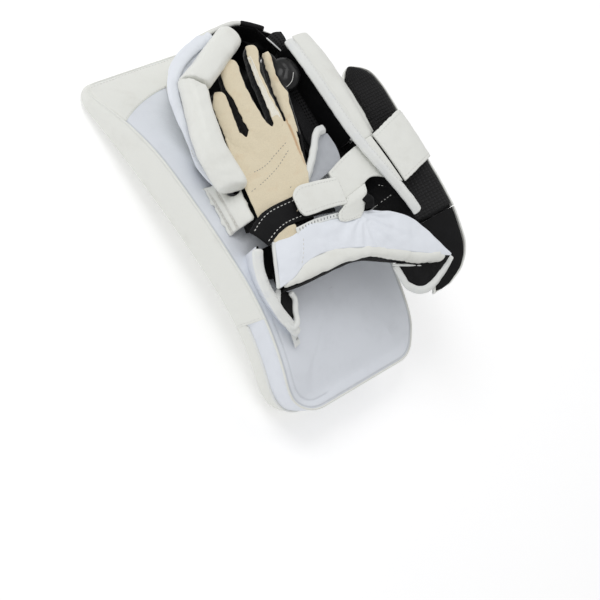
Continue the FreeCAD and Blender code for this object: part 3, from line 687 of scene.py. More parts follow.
def make_finishes(colours):
    """Every finish of the blocker"""
    leather, nylon, black, grey, tan, worn_tone_and_fold_shade, thread = (
        linear(getattr(colours, name)) for name in
        ("leather", "nylon", "black", "grey", "palm", "crease", "thread"))
    white, dark = "blue_white_nylon", "black_nylon"
    make_leather("white_leather", None, leather, (0.50, 0.47, 0.41, 1.0))
    make_leather("cool_leather", white, nylon, (0.45, 0.47, 0.50, 1.0))
    make_nylon("white_nylon", white, nylon, shade(nylon, 0.9), 0.9, 0.42)
    make_nylon("binding_tape", white, shade(leather, 1.04), shade(nylon, 0.86), 1.3, 0.5)
    # a darker copy of the white nylon for the crotch panel: its grey tone together with painted shade over
    # its face
    make_nylon("grey_tape_with_shade", white, shade(nylon, 0.6), shade(nylon, 0.45), 1.2, 0.5)
    make_nylon(dark, None, black, shade(black, 2.6), 0.8, 0.5, shine=0.12)
    make_nylon("black_lining", dark, black, shade(black, 2.2), 1.1, 0.5, uv=False, shine=0.12)
    make_nylon("neoprene", None, shade(black, 1.3), shade(black, 3.0), 0.55, 0.6, depth=0.06,
               shine=0.14)

    palm = Finish("tan_palm_leather", Specular_IOR_Level=0.3, Sheen_Weight=0.25)
    nap = palm.cloud(1.1, 5.0, 0.7)
    patchy = palm.cloud(15.0, 4.0, 0.6)
    streak = palm.cloud(5.0, 3.0, 0.55, stretch=(3.0, 0.8, 1.0))
    base = palm.mix(tan, shade(tan, 0.78), nap.between(0.35, 0.75) * 0.45)
    base = palm.mix(base, worn_tone_and_fold_shade, patchy.between(0.52, 0.75) * 0.16 + streak.between(0.6, 0.8) * 0.1)
    # painted shade: where the mark lies on the palm (its pressed folds, soft lines and seams) the tan
    # darkens towards a darker shade of the crease colour; on the finger strips the mark is random darker
    # patches
    palm.paint(palm.mix(base, shade(worn_tone_and_fold_shade, 0.8), palm.mark().between(0.08, 0.95) * 0.85),
               nap * 0.15 + 0.66)
    palm.bump(nap, 0.16, 0.7)
    palm.bump(streak, 0.8, 0.4)

    raw = Finish("raw_suede", "tan_palm_leather", Specular_IOR_Level=0.2, Sheen_Weight=0.2)
    fibre = raw.cloud(0.9, 5.0, 0.75)
    raw.paint(raw.mix((0.86, 0.83, 0.74, 1.0), (0.6, 0.54, 0.42, 1.0), fibre.between(0.45, 0.8)),
              fibre * 0.1 + 0.8)
    raw.bump(fibre, 0.3, 0.8)

    net = Finish("black_mesh", Specular_IOR_Level=0.2)
    holes = net.cells(3.3, 0.0, uv=True, stretch=(1.0, 0.8, 1.0))
    strand = holes.between(0.16, 0.42)
    fluff = net.cloud(0.7, 3.0, 0.6)
    net.paint(net.mix(shade(black, 0.4), shade(black, 3.6), strand * (fluff * 0.6 + 0.5)),
              0.8 - strand * 0.2)
    net.bump(strand, 0.6, 0.9)
    net.bump(fluff, 0.12, 0.5)

    basket = Finish("basket_weave", "black_mesh", Specular_IOR_Level=0.25)
    u, v = basket.axes(True)
    turn = math.pi / 3.3
    check = ((u * turn).sine() * (v * turn).sine()).between(-0.12, 0.12)
    bars = (check * (u * turn * 4.0).sine() + (1.0 - check) * (v * turn * 4.0).sine()) * 0.5 + 0.5
    raised = abs((u * turn).sine()) * abs((v * turn).sine())
    basket.paint(basket.mix(shade(black, 0.6), shade(black, 4.0), bars * raised), 0.6)
    basket.bump(bars * 0.35 + raised, 0.55, 0.9)

    knit = Finish("black_knit", Specular_IOR_Level=0.25, Sheen_Weight=0.3, Sheen_Roughness=0.4)
    u, v = knit.axes(True)
    wale = abs((u * (math.pi / 1.5)).sine())
    course = (v * (2.0 * math.pi / 1.1) + wale * 2.2).sine() * 0.5 + 0.5
    fuzz = knit.cloud(0.8, 4.0, 0.7)
    knit.paint(knit.mix(shade(black, 0.55), shade(black, 2.6), wale * course * 0.7 + fuzz * 0.25),
               fuzz * 0.1 + 0.72)
    knit.bump(wale * 0.7 + course * 0.4, 0.35, 0.8)

    patent = Finish("patent_leather", Specular_IOR_Level=0.3, Coat_Weight=0.18, Coat_Roughness=0.2)
    ripple = patent.cloud(6.0)
    patent.paint(patent.mix(shade(black, 0.8), shade(black, 1.6), ripple), ripple * 0.12 + 0.28)
    patent.bump(ripple, 0.3, 0.5)
    patent.bump(patent.cells(0.9), 0.05, 0.4)

    hook = Finish("hook_fastener", Specular_IOR_Level=0.3, Sheen_Weight=0.2)
    loops = hook.cells(0.9, 0.35)
    hook.paint(hook.mix(shade(grey, 0.28), shade(grey, 1.2), loops.between(0.1, 0.6)), 0.7)
    hook.bump(loops, 0.6, 0.9)

    for name, slot, tone in (("thread_white", white, thread), ("thread_dark", dark, grey)):
        yarn = Finish(name, slot, Specular_IOR_Level=0.4)
        twist = yarn.cloud(0.5, 2.0)
        yarn.paint(yarn.mix(shade(tone, 0.75), tone, twist), twist * 0.2 + 0.4)
        yarn.bump(twist, 0.1, 0.6)

    foam = Finish("foam", Specular_IOR_Level=0.2)
    cell = foam.cells(1.6)
    foam.paint(foam.mix((0.008, 0.008, 0.009, 1.0), (0.03, 0.03, 0.032, 1.0), cell),
               cell * 0.1 + 0.8)
    foam.bump(cell, 0.3, 0.6)
    sheet = Finish("plastic_sheet", Specular_IOR_Level=0.5)
    haze = sheet.cloud(20.0)
    sheet.paint(sheet.mix((0.6, 0.6, 0.6, 1.0), (0.7, 0.7, 0.7, 1.0), haze), haze * 0.1 + 0.3)
    sheet.bump(haze, 0.2, 0.3)


# finishes of the solids that stay as they are
INNER_NODES = {
    "foam": ("hand_riser", "thumb_foam", "backhand_pad", "index_guard_foam",
             "finger_box_foam"),
    "hook_fastener": ("hand_fastener_strip",),
    "black_lining": ("palm_side_gussets",),
}


# ------------------------------------------------------------------ board
# outlines of the side wall: share of the board's thickness, and inset
WALL_ROWS = ((0.0, 1.0), (0.05, -0.2), (0.18, -1.0), (0.34, -1.5), (0.5, -1.7), (0.66, -1.5),
             (0.82, -1.0), (0.95, -0.2), (1.0, 1.0))
LEATHER_END = (0.0, -87.0, 31.0)        # the side leather is cut here
LEATHER_END_WAY = (0.0, 1.0, 0.184)
SEAM_SHARE = 0.42                       # piped seam round the wrist end, as a share of the wall
PANEL_ARC_Y = -67.0                     # centre of the arc that bounds the fingertip panel
PANEL_ARC_RADIUS = 216.0
PANEL_LIFT = 1.3
HEEL_FLARE = 0.036                      # the thumb side is wider at the wrist end
FLARE_START_Y = -112.0
FLARE_RUN = 50.0
INNERMOST = HALF_WIDTH - 0.005          # the last outline, almost closed to a line
WRAP_START = (0.0, -83.0, 31.0)         # the wrist end's wrap runs a little under the leather
COVER_SEAM_INSET = 10.0                 # seam near the edge of the back at the wrist end


def board_ring(height, inset, lift=0.0):
    """The board's outline at a share of its thickness, with round corners"""
    half, tip = HALF_WIDTH - inset, TIP_Y - inset
    heel = HEEL_Y - HEEL_LEAN * height + inset
    corners = ((half, tip, TIP_CORNER, 0, 20), (-half, tip, TIP_CORNER, 90, 56),
               (-half, heel, HEEL_CORNER, 180, 20), (half, heel, HEEL_CORNER, 270, 56))
    arcs = []
    for x, y, radius, start, run in corners:
        radius = min(max(radius - inset, 0.2), half)
        middle = Vector((x - math.copysign(radius, x), y - radius if y > 0 else y + radius))
        arc = [middle + Vector((math.cos(math.radians(start + 15 * step)),
                                math.sin(math.radians(start + 15 * step)))) * radius
               for step in range(7)]
        arcs.append((arc, run))
    ring = []
    for index, (arc, run) in enumerate(arcs):
        following = arcs[(index + 1) % 4][0][0]
        ring += arc + [arc[-1].lerp(following, step / run) for step in range(1, run)]
    ring = [(x * (1.0 + HEEL_FLARE * unit((FLARE_START_Y - y) / FLARE_RUN) * (x > 0.0)), y)
            for x, y in ring]
    return [Vector((x, y, front_z(y) + height * thickness(y) + lift)) for x, y in ring]


def board_sheet(rows, up=None):
    """A surface through several outlines of the board"""
    rings = [board_ring(*row) for row in rows]
    count = len(rings[0])
    mesh = laid(lambda i, j: rings[j][i % count], count, len(rows) - 1, up, seam=True)
    bmesh.ops.remove_doubles(mesh, verts=mesh.verts, dist=0.06 * MM)
    return mesh


def hoop(ring, profile, up):
    """A closed profile carried round a closed line"""
    count = len(ring)
    frames = []
    for index, here in enumerate(ring):
        ahead = (ring[(index + 1) % count] - ring[index - 1]).normalized()
        side = ahead.cross(Vector(up)).normalized()
        frames.append((here, side, side.cross(ahead)))

    def place(i, j):
        here, side, rise = frames[i % count]
        a, b = profile[j % len(profile)]
        return here + side * a + rise * b

    return laid(place, count, len(profile))


def panel_place(s, t):
    """A point of the leather panel at the fingertip end of the back"""
    x = (HALF_WIDTH - 1.5) * (2.0 * s - 1.0)
    low = PANEL_ARC_Y + math.sqrt(PANEL_ARC_RADIUS ** 2 - x ** 2)
    y = low + (TIP_Y - 1.5 - low) * t
    rounding = max(0.0, y - (TIP_Y - TIP_CORNER))
    x *= 1.0 - (TIP_CORNER - math.sqrt(TIP_CORNER ** 2 - rounding ** 2)) / HALF_WIDTH
    return Vector((x, y, back_z(y) + PANEL_LIFT))


class BLOCKER_OT_board(bpy.types.Operator):
    """The arched board: front face, side walls, back, fingertip panel and piping"""

    bl_idname = "blocker.board"
    bl_label = "Board"

    def execute(self, context):
        sizes = context.scene.blocker_sizes
        front = [(0.03, 0.2), (0.0, 1.4)]
        front += [(0.0, inset) for inset in (4, 9, 13, 15, 17, 22, 32, 46, 62, 80, INNERMOST)]
        mesh = board_sheet(front, up=(0, 0, -1))
        # the pressed line round the front is marked, and the leather darkens it as painted shade
        groove(mesh, [board_ring(0.0, 15.0)], 1.6, 1.2)
        piece("front_face", "white_leather", mesh, "board_front_face", 1.4, (0.25, 60.0))

        mesh = keep_side(board_sheet(WALL_ROWS), LEATHER_END, LEATHER_END_WAY)
        crumple(mesh, sizes.wrinkle, 34.0, 2.0, stretch=(1.0, 1.3, 0.8))
        side = piece("side_leather", "white_leather", mesh, "side_wall_leather", sizes.leather)
        layers = (("front_core", "foam", 0.06, 0.42, "board_front_foam"),
                  ("stiffener_sheet", "plastic_sheet", 0.43, 0.5, "board_stiffener"),
                  ("back_core", "foam", 0.51, 0.93, "board_back_foam"))
        for name, finish, low, high, node in layers:
            slab = [(low, inset) for inset in (INNERMOST, 70, 40, 16, 3.4)]
            slab += [(high, inset) for inset in (3.4, 16, 40, 70, INNERMOST)]
            piece(name, finish, board_sheet(slab), node)
        away = tuple(-share for share in LEATHER_END_WAY)
        wrap_rows = [(0.0, 1.4), (0.05, 0.1), (0.18, -0.7), (0.32, -0.9), (SEAM_SHARE, -0.4)]
        mesh = keep_side(board_sheet(wrap_rows), WRAP_START, away)
        piece("heel_wrap", "white_leather", mesh, thick=1.2, wrinkles=(0.3, 22.0, 5.0))
        strip_rows = [(SEAM_SHARE - 0.02, -0.2), (0.5, 0.2), (0.62, -0.3), (0.8, -0.3), (0.95, 0.4),
                      (1.0, 1.6)]
        mesh = keep_side(board_sheet(strip_rows), WRAP_START, away)
        piece("heel_nylon", "white_nylon", mesh, "side_wall_nylon", 1.2, (0.3, 18.0, 8.0))
        seam = [point for point in board_ring(SEAM_SHARE, -0.2) if point.y < -88.0]
        piece("heel_piping", "binding_tape", sweep(seam, oval(2.8, 2.8, 10, 2.0), spacing=4.0))

        back = [(0.97, 0.6, 0.0), (1.0, 1.8, 0.2)]
        back += [(1.0, inset, 0.6) for inset in (2.6, 3.2, 3.8, 4.6, 6.5, 8.6, 9.4, 10, 10.6, 11.4,
                                                 14, 20, 28, 40, 54, 70, 84, INNERMOST)]
        mesh = board_sheet(back, up=(0, 0, 1))
        # the back's pressed seams are marked, and the nylon darkens them as painted shade
        groove(mesh, [board_ring(1.0, 3.2, 0.6)], 0.7, 0.7)
        for inset, depth in ((COVER_SEAM_INSET, 0.9), (COVER_SEAM_INSET + 5.5, 0.5)):
            seam = [point for point in board_ring(1.0, inset, 0.6)
                    if point.y < -96.0 and point.x < -48.0]
            groove(mesh, [seam], 0.9, depth, 0.5)
        piece("back_cover", "white_nylon", mesh, "board_back_cover", 1.0, (0.5, 26.0, 3.0))
        mesh = hoop(board_ring(1.0, 0.9, 0.2), oval(sizes.piping, sizes.piping, 10, 2.0),
                    (0, 0, 1))
        piece("back_piping", "white_leather", mesh, "back_seam_piping")
        mesh = laid(lambda i, j: panel_place(i / 60, j / 16), 60, 16, (0, 0, 1), crown(0.5, 0.5))
        panel = piece("top_panel", "white_leather", mesh, "board_top_panel", 1.0,
                      (0.35, 24.0, 6.0))

        arc = [panel_place(step / 30, 0.035) for step in range(31)]
        edge = [panel_place(step / 30, 0.93) for step in range(31)]
        stitches("panel_stitches", [arc, edge], panel)
        cuts = [[(x, -84.5 - LEATHER_END_WAY[2] * (z - 31.0), z) for z in (31, 42, 55, 67)]
                for x in (-97.0, 97.0)]
        stitches("side_stitches", cuts, side)
        return {"FINISHED"}


# ------------------------------------------------------------------ finger box
# along the finger shell: its top, and how far its foot stands aside in X and Y
SHELL_PATH = ((-66, 60, 67, 4, 0), (-70, 98, 76, 28, 2), (-63, 132, 79, 34, -4),
              (-47, 151, 80, 26, -10), (-12, 166, 80, 10, -8), (34, 173, 79, 0, -2),
              (66, 172, 79, 0, 0), (82, 161, 83, 0, 0), (88, 147, 92, 0, 0), (86, 134, 106, 0, 0))
SHELL_STEPS = 64
LINING_INSET = 3.6
# along the lower roll: how far it bows towards the palm, and how much wider it is
ROLL_BOW = ((18, 6.5, 1.0), (28, 4.0, 1.04), (40, 0.5, 1.08), (52, -3.0, 1.08), (64, -5.5, 1.06),
            (82, -6.0, 1.0), (101, -4.5, 0.92), (118, -1.5, 0.96), (130, 0.0, 1.0))
ROLL_SLANT = 29.0 / 105.0               # how far the lower roll leans to the middle
ROLL_BEND = (-45.0, 125.0)              # where the two lengths of roll meet
UPPER_WAY = (0.917, 0.4)                # the way of the upper roll


def share_of(table, place, eased=False):
    """Values between the rows of a table whose first column is a place"""
    place = min(max(place, table[0][0]), table[-1][0])
    for low, high in zip(table, table[1:]):
        if place <= high[0]:
            share = (place - low[0]) / (high[0] - low[0])
            if eased:
                share = share * share * (3.0 - 2.0 * share) * 0.5 + share * 0.5
            return [a + (b - a) * share for a, b in zip(low[1:], high[1:])]


def shell_lines(inset):
    """Foot and top of the finger shell, stepped in by some millimetres"""
    tops = smooth([(x, y, z) for x, y, z, _a, _b in SHELL_PATH], SHELL_STEPS + 1)
    feet = smooth([(x + a, y + b, back_z(y + b) - 1.0) for x, y, _z, a, b in SHELL_PATH],
                  SHELL_STEPS + 1)
    stepped = []
    for index in range(SHELL_STEPS + 1):
        way = tops[min(index + 1, SHELL_STEPS)] - tops[max(index - 1, 0)]
        side = Vector((way.y, -way.x, 0.0)).normalized() * inset
        stepped.append((feet[index] + side, tops[index] + side))
    return stepped


def shell_top(inset, rise=0.0):
    """The finger shell's top line, stepped in and raised by some millimetres"""
    return moved([top for _foot, top in shell_lines(inset)], 0, 0, rise)


def shell_sheet(inset, height, swell_by):
    """A wall round the fingertips, up to a share of its height"""
    lines = shell_lines(inset)
    return laid(lambda i, j: lines[i][0].lerp(lines[i][1], height * j / 8),
                SHELL_STEPS, 8, (-0.3, 1, 0),
                lambda s, t: swell_by * math.sin(math.pi * t) ** 0.7)


class BLOCKER_OT_finger_box(bpy.types.Operator):
    """The raised wall round the fingertips, its lining, its bound edge and the padded roll"""

    bl_idname = "blocker.finger_box"
    bl_label = "Finger box"

    def execute(self, context):
        cap = context.scene.blocker_sizes.swell
        piece("finger_wall", "white_leather", shell_sheet(0.0, 1.0, 1.6), "finger_shell", 2.6,
              (0.4, 16.0, 4.0))
        piece("finger_wall_lining", "black_nylon", shell_sheet(LINING_INSET, 1.02, -0.5),
              "finger_shell_lining", 1.6, (0.4, 12.0, 7.0))
        soft_end = int(SHELL_STEPS * 0.64)
        tops = shell_top(5.2, 1.2)
        edge = shell_top(1.2, 1.2)
        foot = [(-63, 31, 76), (-67, 44, 74), (-68, 56, 72)]
        mesh = sweep(foot + tops[4:soft_end + 1:4], oval(13.5, 6.5, 16, 2.3, 0.5), spacing=3.0,
                     end=2.5)
        skirt = [shell_top(inset)[18:41:2] for inset in (7, 12, 17)]
        piece("roll_skirt", "cool_leather", patch(skirt, 36, 8), thick=1.2, wrinkles=(0.4, 9.0))
        soft = piece("soft_edge", "cool_leather", mesh, "finger_shell_binding",
                     wrinkles=(0.7, 9.0, 2.0))
        bare = int(SHELL_STEPS * 0.81)
        mesh = sweep(edge[soft_end - 6:bare:4] + [edge[bare]], oval(5.0, 4.5, 12, 2.2),
                     spacing=3.0)
        piece("leather_edge", "white_leather", mesh, wrinkles=(0.4, 7.0, 5.0))
        mesh = sweep(edge[bare:-7:3], oval(6.0, 5.0, 12, 2.2), spacing=3.0)
        piece("lining_edge", "black_nylon", mesh, wrinkles=(0.4, 7.0, 9.0))

        def lower_marks(work):
            """Wrinkles the lower roll, folds it at the crease and bows it"""
            crumple(work, 0.7, 12.0, 1.0, stretch=(1.0, 0.7, 1.0))
            # the crease is pressed in and marked, and the leather darkens it as painted shade
            groove(work, [[(-61, 118, 105.8), (-45, 122, 106.6), (-30, 116, 105.8)]], 2.6, 0.9)
            for vert in work.verts:
                y = (vert.co.y - SHIFT.y) / MM
                middle = -74.0 + ROLL_SLANT * (y - 20.0)
                aside, widen = share_of(ROLL_BOW, y)
                away = (vert.co.x - SHIFT.x) / MM - middle
                vert.co.x = (middle + away * widen + aside) * MM + SHIFT.x

        def upper_marks(work):
            """Wrinkles the upper roll and draws its outer side in"""
            crumple(work, 0.7, 12.0, 4.0)
            for vert in work.verts:
                place = (vert.co - SHIFT) / MM
                x, y = place.x - ROLL_BEND[0], place.y - ROLL_BEND[1]
                off = y * UPPER_WAY[0] - x * UPPER_WAY[1]
                along = x * UPPER_WAY[0] + y * UPPER_WAY[1]
                if off > 0.0:
                    pull = off * 0.1 * unit(along / 20.0) * MM
                    vert.co += Vector((UPPER_WAY[1], -UPPER_WAY[0], 0.0)) * pull

        lower = stuffed("roll_lower", "finger_roll_lower", lower_marks, cap=cap)
        upper = stuffed("roll_upper", "finger_roll_upper", upper_marks, cap=cap)
        seams = [[(-62, 21, 78), (-50, 62, 78), (-33, 112, 78)],
                 [(-89, 25, 79), (-77, 70, 79), (-60, 128, 79)]]
        stitches("roll_stitches", seams, lower, radius=0.35)
        seams = [[(-38, 111, 78), (0, 127, 78), (36, 144, 78)]]
        stitches("upper_roll_stitches", seams, upper, radius=0.35)
        corner = [(-68, 62, 71), (-71, 68, 72), (-72, 76, 74)]
        stitches("edge_corner_stitches", [corner], soft, spacing=2.6, length=2.0)

        floor_rows = (((-32, 64), (-32, 116), (-16, 138), (28, 160)),
                      ((24, 60), (34, 92), (44, 118), (48, 156)),
                      ((86, 66), (90, 96), (92, 126), (80, 160)))
        rows = [[(x, y, back_z(y) + 2.6) for x, y in row] for row in floor_rows]
        piece("box_floor", "black_nylon", patch(rows, 30, 30, swell=crown(1.6, 0.4)),
              "finger_box_floor", 3.0, (0.4, 11.0))

        nose = [[(69.2, 143.1, 97), (78, 145.5, 100.5), (86.8, 143, 103)],
                [(70.8, 131.5, 100.5), (78, 134, 104), (84.5, 132.6, 105)],
                [(75, 120.6, 100), (77, 121, 102), (79, 121, 102)]]
        piece("nose_mesh", "black_mesh", patch(nose, 14, 16, swell=crown(1.5)), thick=1.5)
        panel = [[(79, 168, 80), (75, 144.6, 92), (80.4, 121.1, 97), (90, 112.5, 100)],
                 [(80, 150, 72), (82, 136, 80), (84, 119, 88), (90, 110, 92)],
                 [(70, 159, 66), (80, 140, 70), (90, 118, 78), (98, 108, 84)]]
        piece("guard_end_panel", "black_nylon", patch(panel, 24, 18, (-1, 0, 0)), thick=1.4,
              wrinkles=(0.4, 9.0))
        mesh = sweep([(69.2, 143.1, 97.6), (70.8, 131.5, 101), (76.3, 120.2, 101)],
                     oval(1.6, 1.6, 8, 2.0), spacing=2.5)
        piece("inner_piping", "binding_tape", mesh)
        return {"FINISHED"}


# ------------------------------------------------------------------ fingers and palm
STALL_HALF = 7.5                        # half the height of a finger
STALL_POWER = 2.5                       # how square a finger's section is
# knuckle, then along the finger: place, knit left and right, tan strip left and right
FINGERS = {
    "pinky": (62.0, ((50, -37.5, -20.0, -36.5, -20.5), (70, -39.8, -20.5, -38.0, -22.8),
                     (84, -41.5, -21.5, -40.0, -23.8), (98, -42.0, -23.0, -41.0, -24.8),
                     (107, -41.0, -24.0, -38.6, -26.0), (114, -38.0, -25.5, -35.5, -27.5))),
    "ring": (70.0, ((56, -17.0, 9.0, -9.5, 8.5), (70, -18.5, 9.5, -13.8, 7.6),
                    (84, -20.5, 6.0, -17.0, 2.6), (101, -23.5, 1.5, -19.8, -1.8),
                    (115, -26.0, -1.5, -24.0, -4.2), (128, -26.0, -3.0, -25.0, -5.6),
                    (138, -26.0, -3.5, -25.0, -5.5), (147, -24.0, -5.0, -22.0, -7.0))),
    "middle": (75.0, ((60, 10.0, 23.5, 12.0, 22.5), (77, 9.5, 24.0, 11.8, 23.2),
                      (92, 8.5, 22.5, 10.6, 19.0), (110, 6.8, 20.0, 8.8, 15.2),
                      (127, 4.8, 19.0, 6.8, 12.8), (138, 4.4, 19.0, 6.2, 14.6),
                      (150, 4.6, 19.5, 5.6, 17.2), (160, 6.0, 18.0, 6.8, 16.8))),
    "index": (76.0, ((60, 24.5, 37.5, 27.0, 33.0), (79, 24.0, 37.5, 24.8, 32.6),
                     (93, 23.4, 37.4, 23.6, 32.2), (104, 22.6, 37.4, 22.0, 34.4),
                     (112, 22.0, 37.0, 21.6, 29.6), (124, 21.4, 36.5, 22.0, 27.0),
                     (139, 20.6, 35.5, 20.8, 27.6), (151, 21.5, 32.0, 21.6, 27.2))),
}
# the pale uncoated edge beside the middle finger's strip: place, left and right
RAW_EDGE = ((72, 13.5, 20.5), (77, 12.2, 20.8), (90, 10.8, 16.6), (107, 9.0, 12.6),
            (124, 7.0, 9.6), (137, 6.3, 8.6), (146, 5.8, 7.0))
TIP_DOME = 8.0                          # over this length a fingertip closes


def finger_section(stations, tip, u):
    """Knit and strip sides at one place along a finger, and how far its tip has closed"""
    return share_of(stations, u, eased=True), dome(unit((tip - u) / TIP_DOME))


def make_finger(name, knuckle, stations, seed):
    """One finger: a ribbed knit tube with a narrow tan strip sewn along its palm side"""
    tip = stations[-1][0] + 1.0
    start = stations[0][0]
    count, steps = 32, int((tip - start) / 1.6)
    ends = [tip - TIP_DOME * (1.0 - math.cos(math.pi / 2.0 * k / 6)) for k in range(7)][::-1]
    places = [start - 0.5 + 0.5 * k for k in range(2)]
    places += [start + (ends[0] - start) * k / steps for k in range(1, steps)] + ends

    def tube(i, j):
        u = places[j]
        (left, right, _a, _b), close = finger_section(stations, tip, u)
        if j == 0:
            close = 0.0
        side, rise = squared(i, count, STALL_POWER)
        pull = 1.0 + 0.02 * math.sin(u * 1.3 + seed)
        v = (left + right) / 2.0 + side * (right - left) / 2.0 * close * pull
        return glove(v, u, -STALL_HALF + rise * STALL_HALF * close)

    knit = piece(name + "_knit", "black_knit", laid(tube, count, len(places) - 1),
                 f"{name}_gusset {name}_back_pad", wrinkles=(0.5, 7.0, seed), body="")
    middle = (stations[0][1] + stations[0][2]) / 2.0

    def curl(obj, w=0.0):
        """Lets a piece bend over the knuckle"""
        bend(obj, name + "_finger", glove(middle, knuckle - 7.0, w),
             glove(middle, knuckle + 4.0, w))

    curl(knit, -4.0)

    face = finger_strip(name + "_strip", stations, tip, seed, start, tip - 1.2, None,
                        "tan_palm_leather")
    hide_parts(name + "_palm_face")
    curl(face)
    if name == "middle":
        curl(finger_strip("middle_raw_edge", stations, tip, seed + 6.0, RAW_EDGE[0][0],
                          RAW_EDGE[-1][0], RAW_EDGE, "raw_suede"))


def finger_strip(name, stations, tip, seed, start, end, sides, finish):
    """A wavy-edged strip of leather laid along a finger's palm side"""
    across, along = 10, int((end - start) / 1.4)

    def strip(i, j):
        s, u = i / across, start + (end - start) * j / along
        (left, right, low, high), close = finger_section(stations, tip, u)
        if sides:
            low, high = share_of(sides, u)
        wave = 0.8 * noise.noise(Vector((u / 4.5, seed, 0.0)))
        other = 0.8 * noise.noise(Vector((u / 4.5, seed, 9.0)))
        v = low + wave + (high + other - low - wave) * s
        middle = (left + right) / 2.0
        v = middle + (v - middle) * (0.35 + 0.65 * close)
        half = (right - left) / 2.0 * max(close, 0.3)
        share = min(abs(v - middle) / half, 0.97)
        rise = (1.0 - share ** STALL_POWER) ** (1.0 / STALL_POWER)
        sink = 2.6 * max(0.0, 1.0 - (u - start) / 12.0) ** 1.5
        lift = (2.4 if sides else 1.9) - sink
        return glove(v, u, -STALL_HALF + rise * STALL_HALF * close + lift)

    mesh = laid(strip, across, along, GLOVE_TURN @ Vector((0, 0, 1)),
                lambda s, t: 0.6 * abs(2.0 * s - 1.0) ** 5 - 0.3)
    crumple(mesh, 0.4, 7.0, seed + 4.0)
    layer = mesh.verts.layers.float["crease"]
    for vert in mesh.verts:
        spot = vert.co / (9.0 * MM) + Vector((seed, 0, 0))
        vert[layer] = max(0.0, noise.noise(spot) * 0.7 - 0.15)
    return piece(name, finish, mesh, thick=1.3, body="")


# sides of the palm, across and along its plane
PALM_LEFT = ((-27, -22), (-31, 0), (-34, 20), (-36.5, 42), (-38, 60))
PALM_RIGHT = ((6, -22), (20, -10), (28, 4), (31, 22), (31, 44), (31.8, 60), (32.8, 80))
FINGER_GAPS = (-17.5, 9.8, 23.6)        # where the knit between two fingers begins


def palm_place(s, t):
    """A point of the tan palm, with its mounds, and notched between the fingers"""
    left = along_line(PALM_EDGES[0][0], PALM_EDGES[0][1], PALM_EDGES[0][1][-1] * t)
    right = along_line(PALM_EDGES[1][0], PALM_EDGES[1][1], PALM_EDGES[1][1][-1] * t)
    v = left.x + (right.x - left.x) * s
    u = left.y + (right.y - left.y) * s
    notch = sum(math.exp(-((v - gap) / 3.2) ** 2) for gap in FINGER_GAPS)
    u += (4.0 - 7.5 * notch) * t ** 6
    # the mounds of thumb and little finger, and the hollow between them
    w = (2.4 * math.exp(-((v - 21) / 11) ** 2 - ((u - 14) / 24) ** 2)
         + 1.2 * math.exp(-((v + 24) / 10) ** 2 - ((u - 16) / 22) ** 2)
         - 1.6 * math.exp(-((v + 2) / 12) ** 2 - ((u - 34) / 22) ** 2))
    frill = 0.9 * noise.noise(Vector((u / 4.0, 0, 5))) * max(0.0, s - 0.9) * 10.0
    return glove(v + frill, u, w + 1.1 + abs(frill) * 0.6)


def edge_line(points):
    """A smooth edge of the palm and its running length"""
    line = smooth([(v, u, 0.0) for v, u in points], 60)
    return line, running(line)


PALM_EDGES = (edge_line(PALM_LEFT), edge_line(PALM_RIGHT))


def palm_line(*places):
    """A line just above the palm through places given across and along it"""
    return [glove(v, u, 1.0) for v, u in places]


class BLOCKER_OT_hand(bpy.types.Operator):
    """The four knit fingers with their tan strips, the palm and the glossy fingertip cap"""

    bl_idname = "blocker.hand"
    bl_label = "Hand"

    def execute(self, context):
        for seed, (name, (knuckle, stations)) in enumerate(FINGERS.items()):
            make_finger(name, knuckle, stations, seed * 3.7 + 1.0)
        mesh = laid(lambda i, j: palm_place(i / 64, j / 72), 64, 72,
                    GLOVE_TURN @ Vector((0, 0, 1)))
        crumple(mesh, 0.8, 17.0, 3.0)
        # the fold along the palm's right edge, the soft lines and the stitched seams are pressed in and
        # marked, and the tan finish darkens them as painted shade
        folds = [palm_line((25, 78), (27, 64), (29, 38), (30.4, 24))]
        groove(mesh, folds, 1.5, 0.9, 0.9)
        soft = [palm_line((-8, 60), (-4, 40), (-12, 22)),
                palm_line((14, 66), (6, 46), (4, 30)),
                palm_line((-28, 52), (-14, 40), (8, 36))]
        groove(mesh, soft, 5.0, 0.7, 0.12)
        seams = [palm_line((-26, 23), (-8, 31), (7, 43), (20, 53)),
                 palm_line((-30, 5), (-14, 14.5), (3, 28), (20, 45)),
                 palm_line((25, 30), (21, 19), (15, 11), (8, 3))]
        groove(mesh, seams, 1.0, 0.35, 0.2)
        palm = piece("palm", "tan_palm_leather", mesh, "palm_leather", 2.2)
        stitches("palm_stitches", seams, palm, finish="thread_dark", spacing=3.4, length=1.9,
                 radius=0.3)

        mesh = bmesh.new()
        bmesh.ops.create_uvsphere(mesh, u_segments=32, v_segments=20, radius=1.0)
        bmesh.ops.scale(mesh, vec=(15.0 * MM, 17.5 * MM, 9.0 * MM), verts=mesh.verts)
        bmesh.ops.rotate(mesh, matrix=GLOVE_TURN, verts=mesh.verts)
        bmesh.ops.translate(mesh, vec=at(glove(40.0, 127.0, -6.5)), verts=mesh.verts)
        mesh.normal_update()
        groove(mesh, [[glove(33, 141, 1.5), glove(38, 130, 2.5), glove(34, 117, 1.5)]], 1.4, 0.8)
        dome = piece("fingertip_cap", "patent_leather", mesh, "index_tip_dome",
                     wrinkles=(0.5, 9.0, 2.0), body="index_finger")
        # white stitches along the cap's edge, which also stand in for the painted highlight on its rim
        rows = [[glove(45, 124, 1), glove(42, 116, 0), glove(35, 109, -1)]]
        stitches("cap_rim_highlight_stitches", rows, dome, "index_finger", spacing=1.2, length=2.2,
                 radius=0.35)
        return {"FINISHED"}


# ------------------------------------------------------------------ index guard
# the bound ridge, from the guard's far end to the wrist
RIDGE = ((69, 128, 120), (67.5, 96, 125.5), (70, 62, 126), (74, 16, 127), (80, -12, 128),
         (92, -46, 126), (100, -70, 123), (102, -74.5, 121.5))


